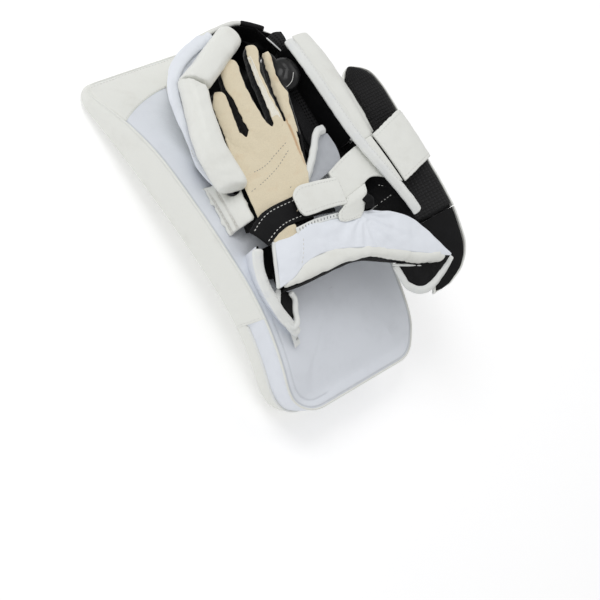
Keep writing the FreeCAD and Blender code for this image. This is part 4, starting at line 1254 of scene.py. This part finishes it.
class BLOCKER_OT_index_guard(bpy.types.Operator):
    """The padded plate beside the index finger, its folded binding, walls and mesh"""

    bl_idname = "blocker.index_guard"
    bl_label = "Index guard"

    def execute(self, context):
        sizes = context.scene.blocker_sizes
        stuffed("guard_pad", "index_guard",
                lambda work: crumple(work, 0.6, 16.0, 9.0), 2.6, 0.8, sizes.swell * 0.6)
        profile = oval(11.0, 4.6, 18, 2.6, 1.1)
        mesh = sweep(RIDGE, profile, up=(-0.35, 0.0, 1.0), spacing=2.6, end=1.6, wobble=0.5)
        tape = piece("guard_binding", "binding_tape", mesh, "index_guard_binding",
                     wrinkles=(0.25, 8.0, 3.0))
        line = moved(RIDGE, 2.6, 0, 2.6)
        stitches("guard_binding_stitches", [line], tape, spacing=3.6, length=2.2, radius=0.3)

        foot = [(93.5, y, back_z(y)) for y in (14, 40, 66, 92, 118)]
        waist = [(96.5, y, (back_z(y) + 116.0) / 2.0) for y in (14, 40, 66, 92, 118)]
        top = [(96, 14, 116), (95.5, 40, 117), (95, 66, 117), (93.5, 92, 116), (91, 118, 113)]
        side = piece("guard_side", "white_leather", patch([foot, waist, top], 48, 20, (1, 0, 0)),
                     "index_guard_side", 2.4, (sizes.wrinkle, 24.0, 1.0))
        seam = moved(foot, 1.0, 0, 4.0)
        stitches("guard_side_stitches", [seam], side)

        low = [(74, 126, 93), (72.5, 95, 92), (73, 73, 92), (75, 37, 92), (77, 16, 92)]
        high = [(72, 127, 116), (69.5, 95, 123), (71.5, 62, 124), (74.5, 30, 125), (76, 15, 125)]
        mesh = patch([low, high], 48, 14, (-1, 0, 0), crown(1.2, 0.5))
        piece("guard_lining", "black_nylon", mesh, "index_lining", 2.4, (0.4, 12.0, 5.0))

        corner = [[(75, 130, 121.5), (77, 105, 122), (80, 72, 122), (82, 45, 121.5),
                   (85, 10, 121.5)],
                  [(92, 130, 121), (98, 105, 121), (102, 72, 120.5), (103, 45, 120),
                   (105, 10, 119.5)],
                  [(104, 130, 115), (110, 105, 115), (112, 72, 115), (112, 45, 114),
                   (112, 10, 113)],
                  [(111, 130, 103), (115, 105, 103), (116, 72, 103), (115, 45, 102),
                   (114, 10, 102)],
                  [(111, 130, 92), (115, 105, 92), (116, 72, 92), (115, 45, 91), (114, 10, 91)]]
        piece("guard_corner", "white_leather", patch(corner, 30, 24, swell=crown(1.2, 0.5)),
              thick=1.4, wrinkles=(0.5, 12.0))
        # painted shade: a black sheet laid in the crotch between the index guard and the thumb, standing for
        # the shade there
        shade_cloth = [[(72, 26, 99), (84, 22, 99), (94, 19, 99)],
                       [(74, 8, 97), (86, 5, 97), (98, 2, 97)]]
        piece("crotch_shade_sheet", "black_nylon", patch(shade_cloth, 14, 12), thick=1.2,
              wrinkles=(0.4, 9.0))
        left = [(42, 4, 94), (44, 40, 91), (53, 72, 92), (63, 102, 93), (68, 118, 90)]
        middle = [(60, -2, 92), (59, 38, 89), (62, 72, 90), (67, 101, 93), (72, 120, 88)]
        right = [(80, -6, 100), (74, 36, 96), (72, 72, 96), (71, 101, 97), (75, 122, 92)]
        piece("guard_mesh", "black_mesh", patch([left, middle, right], 44, 22), "index_mesh_floor",
              1.6, (0.5, 14.0, 6.0))
        return {"FINISHED"}


# ------------------------------------------------------------------ thumb
# along the thumb guard: place, then X and Z of its left and of its right edge
THUMB_BODY = ((86, 134, 104, 148, 109), (80, 130, 103, 152, 113), (70, 127.5, 101, 156.5, 116.5),
              (56, 126, 100, 159, 118), (20, 126, 100, 160, 118), (-16, 115, 96, 161, 118),
              (-58, 106, 98, 161, 118), (-83.7, 106, 100, 159, 118))
THUMB_BASE = ((-84.3, 106, 100, 159, 118), (-104, 107, 100, 155, 116),
              (-122, 107, 99.5, 149, 114), (-138, 99, 98, 137, 108), (-149, 92, 96, 112, 101))

PAD_INSET = 2.6                         # the thumb's pad is narrower than its shell


def thumb_frames(stations, steps, round_tip):
    """Middle, across and out directions and half width at places along the thumb guard"""
    line = smooth(stations, steps + 1)
    frames = []
    for station in line:
        y, left_x, left_z, right_x, right_z = station
        left, right = Vector((left_x, y, left_z)), Vector((right_x, y, right_z))
        across = (right - left).normalized()
        out = Vector((-across.z, 0.0, across.x))
        close = dome(unit((line[0][0] - y) / round_tip)) if round_tip else 1.0
        frames.append(((left + right) / 2.0, across, out, (right - left).length / 2.0, close))
    return frames


def thumb_pad(stations, steps, top, bottom, round_tip):
    """A crowned closed pad along the thumb guard"""
    frames = thumb_frames(stations, steps, round_tip)
    count = 30

    def place(i, j):
        middle, across, out, half, close = frames[j]
        if j == steps:
            close = 0.0
        side, rise = squared(i, count, 3.0)
        height = (top if rise > 0.0 else -bottom) * rise * (0.35 + 0.65 * close)
        return middle + across * side * (half - PAD_INSET) * close + out * (height - 2.0)

    return laid(place, count, steps)


def thumb_shell(stations, steps, depth, round_tip):
    """The outer shell: a soft trough that is open on the palm side"""
    frames = thumb_frames(stations, steps, round_tip)
    trough = ((-0.93, 0.6), (-1.0, 0.5), (-1.03, -1.5), (-1.02, -0.35 * depth),
              (-0.97, -0.75 * depth), (-0.86, -0.96 * depth), (-0.5, -depth), (0.0, -depth),
              (0.5, -depth), (0.86, -0.96 * depth), (0.97, -0.75 * depth), (1.02, -0.35 * depth),
              (1.03, -1.5), (1.0, 0.7), (0.93, 0.9))

    def place(i, j):
        middle, across, out, half, close = frames[j]
        side, height = trough[i]
        if height < -1.5:
            height *= 0.3 + 0.7 * close
        return middle + across * side * half * max(close, 0.05) + out * height

    return laid(place, len(trough) - 1, steps, (0, 0, -1))


class BLOCKER_OT_thumb(bpy.types.Operator):
    """The thumb guard with its mesh face, shell, base, band and the panel to the palm"""

    bl_idname = "blocker.thumb"
    bl_label = "Thumb guard"

    def execute(self, context):
        face = piece("thumb_face", "basket_weave", thumb_pad(THUMB_BODY, 70, 3.4, 7.0, 17.0),
                     "thumb_mesh", wrinkles=(0.7, 15.0, 2.0), body="thumb")
        shell = piece("thumb_guard", "white_leather", thumb_shell(THUMB_BODY, 70, 14.0, 15.0),
                      "thumb_shell", 2.2, (0.4, 18.0, 6.0), body="thumb")
        frames = thumb_frames(THUMB_BODY, 24, 0.0)[2:-1]
        sides = [[middle + across * half * share - out * 3.0
                  for middle, across, out, half, _close in frames] for share in (1.03, -1.03)]
        stitches("thumb_stitches", sides, shell, "thumb")
        piece("thumb_base_pad", "black_nylon", thumb_pad(THUMB_BASE, 30, 2.6, 3.0, 0.0),
              "thumb_base_lining", wrinkles=(0.6, 14.0, 8.0))
        piece("thumb_base", "white_leather", thumb_shell(THUMB_BASE, 30, 8.0, 0.0),
              "thumb_base_shell", 2.2, (0.4, 14.0, 3.0))

        near = [(98, 11.5, 126), (112, 15, 127.4), (124, 18, 127.2), (140, 21.5, 126),
                (152, 24, 123.8), (161, 23.5, 119), (164, 22, 113)]
        far = [(105, -43, 126), (119, -40, 127.6), (132, -37, 127.4), (147, -34, 126.2),
               (158, -31.5, 124), (164, -31, 119.5), (166, -31, 113)]
        rows = [between(near, far, share, math.sin(math.pi * share))
                for share in (0.0, 0.3, 0.7, 1.0)]
        across, along = 48, 36
        columns = columns_through(rows, across, along)

        def band(i, j):
            """The band's surface, whose cut edges are a little uneven"""
            spot = columns[i][j].copy()
            if j in (0, along):
                fray = 1.6 * max(0.0, noise.noise(Vector((i / 2.3, j, 2))))
                spot.y += fray if j else -fray
            return spot

        strap = piece("thumb_band_leather", "white_leather", laid(band, across, along, (0, 0, 1)),
                      "thumb_band", 2.4, (0.45, 14.0, 7.0), body="thumb")
        edges = [between(near, far, share) for share in (0.07, 0.93)]
        stitches("thumb_band_stitches", edges, strap, "thumb", upward=True)

        edge = [(-5, -3, 112.5), (12, 9, 113), (30, 24, 113.5), (45, 36, 113), (57, 37, 112)]
        inner = [(2, -5, 112), (22, 3, 109), (38, 14, 108), (49, 26, 109), (57, 33, 111)]
        far_side = [(8, -7, 113), (30, -3, 114), (52, 3, 115), (57, 16, 114), (58, 32, 112)]
        # the panel's darkened nylon holds its grey tone and painted shade together
        piece("crotch_panel", "grey_tape_with_shade", patch([edge, inner, far_side], 36, 26),
              "thumb_crotch_panel", 1.6, (0.8, 13.0, 4.0))
        mesh = sweep(edge, oval(9.5, 4.6, 16, 2.4, 0.8), up=(0.2, -0.3, 1.0), spacing=2.6,
                     wobble=0.5, seed=5.0)
        piece("crotch_binding", "binding_tape", mesh, wrinkles=(0.5, 7.0, 1.0))
        return {"FINISHED"}


# ------------------------------------------------------------------ wrist
# upper and lower edges of the wrist band, the strap and the strap's end tab
BAND_TOP = ((-84, -20, 95), (-66, -11, 99), (-25, -9, 109), (10, -10, 116))
BAND_LOW = ((-73, -40, 97), (-54, -33, 103), (-10, -36, 112.5), (6, -40, 116))
STRAP_TOP = ((22, -4, 121), (46, 3, 122), (70, 8, 121.3), (97, 11.5, 124))
STRAP_LOW = ((14, -39, 121), (42, -33, 122), (70, -25, 121.3), (104, -42, 124))
TAB_TOP = ((-33.5, -18, 113), (-31, -9.5, 113.4), (-23, -4, 114.8), (-8, -5.5, 119),
           (12, -9, 121.4), (24, -11, 122))
TAB_LOW = ((-33.5, -25, 113.4), (-31, -30.5, 113.8), (-22, -33, 115.6), (-8, -34.5, 118.8),
           (8, -37, 121.4), (18, -39, 122))

QUILT_SHIFT = (-3.0, 0.0, 2.5)          # puts the quilting on the swollen side anchor


def flat_strap(first, second, across, along, arch, lift):
    """A strap between two edges, a little crowned across its width"""
    rows = [between(first, second, share, lift + arch * math.sin(math.pi * share))
            for share in (0.0, 0.06, 0.5, 0.94, 1.0)]
    return patch(rows, across, along)


class BLOCKER_OT_wrist(bpy.types.Operator):
    """Neoprene wrist band, closing strap, tab, keeper, anchor pad and the black gusset"""

    bl_idname = "blocker.wrist"
    bl_label = "Wrist"

    def execute(self, context):
        sizes = context.scene.blocker_sizes
        mesh = flat_strap(BAND_TOP, BAND_LOW, 64, 18, 1.2, 2.2)
        band = piece("wrist_band_cloth", "neoprene", mesh, "wrist_band", 2.6, (0.8, 16.0, 2.0))
        rows = [between(BAND_TOP, BAND_LOW, share, 3.0) for share in (0.16, 0.84)]
        stitches("wrist_band_stitches", rows, band, upward=True)
        tan = [[(-66, -32, 101.4), (-53, -31, 105.4), (-40, -32.5, 109.4)],
               [(-66, -41, 99.4), (-53, -42, 103.8), (-40, -43.5, 108)]]
        piece("tan_corner", "tan_palm_leather", patch(tan, 20, 6), thick=1.4, wrinkles=(0.4, 5.0))
        web = [[(-43, -36.5, 110), (-20, -37, 114.4), (8, -41.5, 119)],
               [(-44, -42.5, 109.2), (-20, -42.5, 113.8), (7, -46.5, 118.8)]]
        webbing = piece("wrist_webbing", "binding_tape", patch(web, 30, 5), thick=1.4,
                        wrinkles=(0.3, 6.0))
        stitches("webbing_stitches", [between(web[0], web[1], 0.5, 0.4)], webbing,
                 finish="thread_dark", spacing=3.6, turn=70.0, upward=True)

        mesh = flat_strap(STRAP_TOP, STRAP_LOW, 60, 20, 0.6, 0.2)
        strap = piece("closing_strap", "white_leather", mesh, "wrist_strap strap_anchor", 2.6,
                      (0.3, 20.0, 5.0), body="")
        bend(strap, "strap", (84, -6, 121), (60, -6, 121))
        rows = [between(STRAP_TOP[:3], STRAP_LOW[:3], share, 0.5) for share in (0.07, 0.93)]
        for row in rows:
            row[-1] = row[1].lerp(row[2], 0.6)
        stitches("closing_strap_stitches", rows, strap, "strap", upward=True)

        mesh = flat_strap(TAB_TOP, TAB_LOW, 34, 20, 0.5, 3.0)
        tab = piece("tab", "white_leather", mesh, "strap_tab", 2.8, (0.3, 14.0, 1.0), body="strap")
        top = between(TAB_TOP, TAB_LOW, 0.12, 3.2)[1:]
        low = between(TAB_TOP, TAB_LOW, 0.88, 3.2)[1:]
        rows = [top, low, [top[0], top[0].lerp(low[0], 0.5) + Vector((-0.6, 0, 0)), low[0]],
                [top[-1], top[-1].lerp(low[-1], 0.5), low[-1]]]
        stitches("tab_stitches", rows, tab, "strap", spacing=3.4, length=2.2, upward=True)

        first = [(22, -33, 123), (14, -38.5, 122), (3, -44.5, 120), (2, -49, 119.4),
                 (8, -53, 119.2)]
        second = [(53, -28, 124), (48, -36, 125.4), (42, -44, 123), (36, -51, 120.4),
                  (28, -55.5, 119.4)]
        keeper = piece("keeper", "white_leather", flat_strap(first, second, 34, 20, 0.5, 1.4),
                       "strap_keeper", 2.2, (0.3, 8.0, 3.0), body="strap")
        rows = [between(first, second, share, 1.8) for share in (0.1, 0.9)]
        rows.append([(6, -50.5, 121), (17, -52.5, 121.4), (30, -52, 121.4)])
        stitches("keeper_stitches", rows, keeper, "strap", spacing=3.2, length=2.0, upward=True)
        hook = [[(37, -41, 125), (39, -46, 126.4), (36, -51, 124)],
                [(46, -38, 127), (49, -45, 128.2), (45, -52, 126)],
                [(51, -37, 122.4), (53, -45, 122.6), (49, -52, 121)]]
        piece("hook_curl", "black_lining", patch(hook, 22, 16), thick=1.6, wrinkles=(0.6, 5.0),
              body="strap")

        low = [(-76.5, 40, 61), (-78.5, 12, 65), (-80.5, -14, 67)]
        high = [(-54.5, 34, 88), (-60.5, 8, 91), (-66.5, -12, 94)]
        rows = [between(low, high, share) for share in (0.18, 0.4)]
        gathers = [[a + (b - a) * -0.25, b] for a, b in zip(at_steps(rows[0], 5.5),
                                                           at_steps(rows[1], 5.5))]
        rows = [moved(row, *QUILT_SHIFT) for row in rows]

        def quilt(work):
            """Widens the anchor, wrinkles it and presses its seams and gathers in"""
            near = min(vert.co.x for vert in work.verts)
            reach = max(vert.co.x for vert in work.verts) - near
            for vert in work.verts:
                vert.co.x += (vert.co.x - near) / reach * 4.0 * MM
            crumple(work, 0.6, 9.0, 3.0)
            # the quilted channels and gathers are pressed in and marked, and the leather darkens them as
            # painted shade
            groove(work, rows, 1.8, 1.3)
            groove(work, [moved([a, (a + b) / 2, b], *QUILT_SHIFT) for a, b in gathers],
                   1.2, 0.5, 0.3)

        pad = stuffed("side_anchor", "anchor_pad", quilt, 2.0, 0.4, sizes.swell * 0.8)
        stitches("side_anchor_stitches", rows, pad, spacing=3.6)

        hollow = [[(60, -34, 97), (90, -34, 97)], [(60, -60, 97), (90, -60, 97)]]
        piece("gusset_floor", "black_nylon", patch(hollow, 12, 12), thick=1.2, wrinkles=(0.4, 9.0))
        left = [(79, 14, 118), (70, -20, 112), (63, -50, 107), (60, -62, 104)]
        right = [(82, 12, 119), (87, -14, 118.5), (97, -46, 118), (105, -80, 114)]
        low = [(80, 12, 104), (78, -18, 103), (79, -48, 102), (82, -74, 101)]
        gusset = piece("wrist_gusset", "black_nylon", patch([left, low, right], 44, 22),
                       "wrist_side_lining", 1.6, (0.6, 12.0, 3.0))
        rows = [[(80, -33, 112), (88, -36, 112), (95, -38, 113)],
                [(58, -52, 108), (76, -50, 106), (94, -47, 113)]]
        stitches("gusset_stitches", rows, gusset, spacing=3.2, length=2.0, upward=True)
        return {"FINISHED"}


# ------------------------------------------------------------------ cuff
# edges of the cuff and its roll, then foot and top of the outer wall
CUFF_TOP = ((-66, -38, 98.6), (-54, -40, 103.4), (-43, -41.5, 107.4), (-30, -38.5, 110.6),
            (-10, -40.5, 114), (6, -43.5, 116.6), (36, -50, 118.6), (70, -62, 119),
            (95, -78, 116.5), (110, -100, 115), (121.5, -123, 113.2))
CUFF_LOW = ((-85, -78, 93), (-77, -78.5, 97), (-57, -70.5, 103), (-33, -68, 109), (2, -77.5, 118),
            (50, -97.5, 118), (120, -126, 112.8))
ROLL_LOW = ((-78, -80, 97), (-58, -83, 103), (-36, -84, 110), (3, -87, 120), (46, -103, 119),
            (110, -124.5, 113.5))
WALL_LOW = ((-68, -118, 60), (-80, -92, 60), (-84, -60, 60), (-80, -34, 60))
WALL_HIGH = ((-72, -120, 70), (-88, -92, 80), (-89, -50, 88), (-83, -34, 95))
FOLD_CENTRE = Vector((35.5, -53.0, 118.0))      # the cuff's wrinkles fan out from here


class BLOCKER_OT_cuff(bpy.types.Operator):
    """The cuff over the wrist, its padded edge, outer wall, bindings and gussets"""

    bl_idname = "blocker.cuff"
    bl_label = "Cuff"

    def execute(self, context):
        cap = context.scene.blocker_sizes.swell
        centre = at(FOLD_CENTRE)

        def fan(vert):
            """Wrinkles that fan out from the keeper and fade away from it"""
            way = vert.co - centre
            far = way.length / MM
            fold = math.sin(math.atan2(way.y, way.x) * 15.0 + 1.3 * math.sin(far / 9.0))
            return 1.5 * fold * math.exp(-far / 34.0) * (1.0 - math.exp(-far / 7.0))

        mesh = flat_strap(smooth(CUFF_TOP, 13), smooth(CUFF_LOW, 13), 84, 30, 1.4, 1.2)
        crumple(push(mesh, fan), 1.0, 18.0, 6.0)
        seam = [(-39, -42, 108.6), (-49, -57, 108), (-59, -70, 106)]
        # the seam is pressed in and marked, and the leather darkens it as painted shade
        groove(mesh, [seam], 1.2, 0.7, 0.6)
        cuff = piece("cuff_leather", "cool_leather", mesh, "palm_cuff", 2.2, body="")
        bend(cuff, "cuff_flap", (0, -36, 113), (0, -48, 114))
        stitches("cuff_stitches", [moved(seam, 2.5, 0, 0)], cuff, "cuff_flap", upward=True)
        side = [(-66.5, -38, 99.4), (-74, -51, 98.6), (-80, -64, 96.6), (-85, -77.5, 93.6)]
        mesh = crumple(sweep(side, oval(3.6, 3.6, 10, 2.0), spacing=3.0), 0.3, 7.0)
        binding = piece("cuff_side_binding", "binding_tape", mesh, body="")
        bend(binding, "cuff_flap", (0, -36, 113), (0, -48, 114))

        def full_end(work):
            """Wrinkles the roll and fills it out towards the thumb"""
            crumple(work, 0.4, 16.0, 5.0)
            push(work, lambda vert: 1.8 * unit(((vert.co.x - SHIFT.x) / MM - 20.0) / 70.0))

        stuffed("edge_roll", "cuff_edge_roll", full_end, 2.6, -0.4, cap, "cuff_flap")
        behind = moved(ROLL_LOW, 0, 0, -5.0)
        under = moved(ROLL_LOW, 0, -1.6, -11.0)
        inside = moved(ROLL_LOW, 2, 18, -12.0)
        piece("cuff_lining", "black_nylon", patch([behind, under, inside], 60, 16, (0, 0, -1)),
              thick=1.4, wrinkles=(0.4, 14.0), body="cuff_flap")
        rim = moved([point for point in ROLL_LOW if point[0] > 20], 0, -4.0, -10.6)
        piece("cuff_piping", "binding_tape", sweep(rim, oval(2.6, 2.6, 10, 2.0), spacing=4.0),
              wrinkles=(0.3, 8.0), body="cuff_flap")

        rows = [WALL_LOW, between(WALL_LOW, WALL_HIGH, 0.5), WALL_HIGH]
        rows = [moved(row, tuck, 0, 0) for row, tuck in zip(rows, (6.0, 3.0, 1.0))]
        piece("cuff_wall", "black_nylon", patch(rows, 40, 16, (-1, 0, 0), crown(1.5, 0.5)),
              "cuff_left_wall", 2.0, (0.5, 14.0, 2.0))
        outer = [moved(row, -1.8, 0, -0.5) for row in rows]
        piece("cuff_wall_cover", "white_nylon", patch(outer, 40, 16, (-1, 0, 0), crown(1.5, 0.5)),
              thick=1.2, wrinkles=(0.5, 14.0, 2.0))
        rim = moved(WALL_HIGH, 0.6, 0, 2.2)
        rim[-1] = Vector((-84, -37, 95.5))
        mesh = sweep(rim, oval(10.5, 6.5, 16, 2.3, 0.8), up=(-0.3, 0, 1), spacing=3.0, end=2.5,
                     wobble=0.8, seed=2.0)
        wall = piece("cuff_wall_binding", "binding_tape", mesh, "cuff_left_binding",
                     wrinkles=(0.6, 9.0, 4.0))
        line = [point + Vector((2.2, 0, 4.0)) for point in rim]
        stitches("cuff_wall_stitches", [line], wall)

        loop = [(-78, -77, 86), (-85, -88, 83), (-84, -103, 79), (-79, -113.5, 77),
                (-71, -111, 78), (-67, -100, 80), (-64, -91, 84), (-69, -84.5, 88)]
        mesh = sweep(loop, oval(6.0, 4.4, 12, 2.3, 0.4), spacing=2.6, wobble=0.4)
        piece("side_loop", "binding_tape", mesh, wrinkles=(0.4, 6.0))
        fill = [[(-78, -77, 85), (-84, -90, 82), (-81, -108, 76.5)],
                [(-68, -84, 86), (-65, -94, 82), (-72, -108, 76.5)]]
        piece("side_gusset", "black_nylon", patch(fill, 22, 14), "cuff_gussets", 1.4,
              (0.6, 9.0, 2.0))
        tab = [[(-76, -112, 70), (-70, -112, 71)], [(-74, -130, 63), (-66, -128, 64)]]
        tag = piece("sewn_tab", "binding_tape", patch(tab, 8, 14, swell=crown(0.8)), thick=2.0)
        stitches("sewn_tab_stitches", [[(-73, -124, 68), (-70, -124, 68), (-67, -123, 68)]], tag,
                 finish="thread_dark", spacing=1.8, turn=80.0, upward=True)

        vee = [(53, -107.5, 105), (57, -120, 101), (62.5, -131, 97.5), (73, -138.5, 96),
               (86, -141.5, 96.5), (100, -139, 99), (110, -135, 101.5), (129.5, -127, 106)]
        straight = [(54, -108, 108), (66, -110.5, 109), (80, -113.5, 109.5), (92, -116, 109.5),
                    (104, -119, 110), (118, -122.5, 110), (129, -125.5, 108)]
        piece("vee_flap", "black_nylon", patch([vee, straight], 44, 18), thick=1.6,
              wrinkles=(0.7, 12.0, 9.0))
        mesh = sweep(vee, oval(8.0, 4.2, 16, 2.4, 0.6), up=(0, -0.3, 1), spacing=2.8, wobble=0.5,
                     seed=8.0)
        piece("vee_binding", "binding_tape", mesh, wrinkles=(0.4, 7.0))

        rows = [[(x, y, back_z(y) + 3.2) for y in (far, -64, -50, -36)]
                for x, far in ((-71, -63), (-20, -75), (22, -79), (72, -72))]
        piece("cuff_liner", "black_nylon", patch(rows, 40, 24, swell=crown(1.4, 0.4)),
              "cuff_back_pad", 3.0, (0.5, 12.0))
        return {"FINISHED"}


# ------------------------------------------------------------------ stage
# the camera's place, and its ways right, up and back
CAMERA_PLACE = (-1.253718, -0.1772, 1.22818)
CAMERA_AXES = ((0.62427345, -0.5076185, 0.59380646), (0.32476058, 0.85995399, 0.39371272),
               (-0.7105021, -0.05293947, 0.70170092))


class BLOCKER_OT_stage(bpy.types.Operator):
    """A plain pale floor, soft lights and the camera"""

    bl_idname = "blocker.stage"
    bl_label = "Stage"

    def execute(self, context):
        scene = context.scene
        mesh = bmesh.new()
        bmesh.ops.create_grid(mesh, x_segments=2, y_segments=2, size=6.0)
        bmesh.ops.translate(mesh, vec=(0, 0, cad_box[0][2] - 0.0006), verts=mesh.verts)
        data = bpy.data.meshes.new("floor")
        mesh.to_mesh(data)
        mesh.free()
        floor = bpy.data.objects.new("floor", data)
        scene.collection.objects.link(floor)
        pale = Finish("pale_floor", None, Specular_IOR_Level=0.3, Roughness=0.35,
                      Emission_Color=(1, 1, 1, 1), Emission_Strength=0.24)
        drift = pale.cloud(300.0, 2.0, 0.5)
        pale.paint(pale.mix((0.93, 0.93, 0.935, 1.0), (0.95, 0.95, 0.955, 1.0), drift))
        data.materials.append(pale.material)

        world = bpy.data.worlds.new("studio")
        world.use_nodes = True
        world.node_tree.nodes["Background"].inputs["Color"].default_value = (1, 1, 1, 1)
        world.node_tree.nodes["Background"].inputs["Strength"].default_value = 0.56
        scene.world = world
        for name, place, size, power in (("key", (-0.5, 1.1, 1.6), 1.1, 11.0),
                                         ("fill", (-1.5, -0.5, 0.8), 1.4, 3.0),
                                         ("rim", (1.2, 0.4, 1.3), 1.2, 4.0)):
            lamp = bpy.data.lights.new(name, "AREA")
            lamp.size = size
            lamp.energy = power
            holder = bpy.data.objects.new(name, lamp)
            holder.location = place
            aim = Vector((0.0, 0.0, 0.06)) - Vector(place)
            holder.rotation_euler = aim.to_track_quat("-Z", "Y").to_euler()
            scene.collection.objects.link(holder)

        lens = bpy.data.cameras.new("camera")
        lens.lens = 108.0
        lens.sensor_width = 36.0
        lens.sensor_fit = "HORIZONTAL"
        lens.dof.use_dof = False
        view = bpy.data.objects.new("camera", lens)
        axes = Matrix(CAMERA_AXES).transposed().to_4x4()
        axes.translation = Vector(CAMERA_PLACE)
        view.matrix_world = axes
        scene.collection.objects.link(view)
        scene.camera = view
        scene.view_settings.view_transform = "Standard"
        return {"FINISHED"}


class BLOCKER_OT_inside(bpy.types.Operator):
    """Finishes of the foam, sheet and fastener that lie inside the blocker"""

    bl_idname = "blocker.inside"
    bl_label = "Inside layers"

    def execute(self, context):
        for finish, nodes in INNER_NODES.items():
            for node in nodes:
                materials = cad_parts[node].data.materials
                materials.clear()
                materials.append(FINISHES[finish].material)
        return {"FINISHED"}


STEPS = (BLOCKER_OT_inside, BLOCKER_OT_board, BLOCKER_OT_finger_box, BLOCKER_OT_hand,
         BLOCKER_OT_index_guard, BLOCKER_OT_thumb, BLOCKER_OT_wrist, BLOCKER_OT_cuff,
         BLOCKER_OT_stage)


class BLOCKER_PT_panel(bpy.types.Panel):
    """Lists the blocker's settings and pieces"""

    bl_label = "Goalie blocker"
    bl_idname = "BLOCKER_PT_panel"
    bl_space_type = "VIEW_3D"
    bl_region_type = "UI"
    bl_category = "Blocker"

    def draw(self, context):
        layout = self.layout
        for group, names in ((context.scene.blocker_sizes, BlockerSizes.__annotations__),
                             (context.scene.blocker_colours, BlockerColours.__annotations__)):
            box = layout.box()
            for name in names:
                box.prop(group, name)
        for step in STEPS:
            layout.operator(step.bl_idname)


CLASSES = (BlockerSizes, BlockerColours, *STEPS, BLOCKER_PT_panel)


def register():
    for cls in CLASSES:
        bpy.utils.register_class(cls)
    bpy.types.Scene.blocker_sizes = PointerProperty(type=BlockerSizes)
    bpy.types.Scene.blocker_colours = PointerProperty(type=BlockerColours)


def unregister():
    del bpy.types.Scene.blocker_colours
    del bpy.types.Scene.blocker_sizes
    for cls in reversed(CLASSES):
        bpy.utils.unregister_class(cls)


def main():
    """Builds the whole blocker"""
    register()
    make_finishes(bpy.context.scene.blocker_colours)
    for step in STEPS:
        group, name = step.bl_idname.split(".")
        getattr(getattr(bpy.ops, group), name)()


if __name__ == "__main__":
    main()
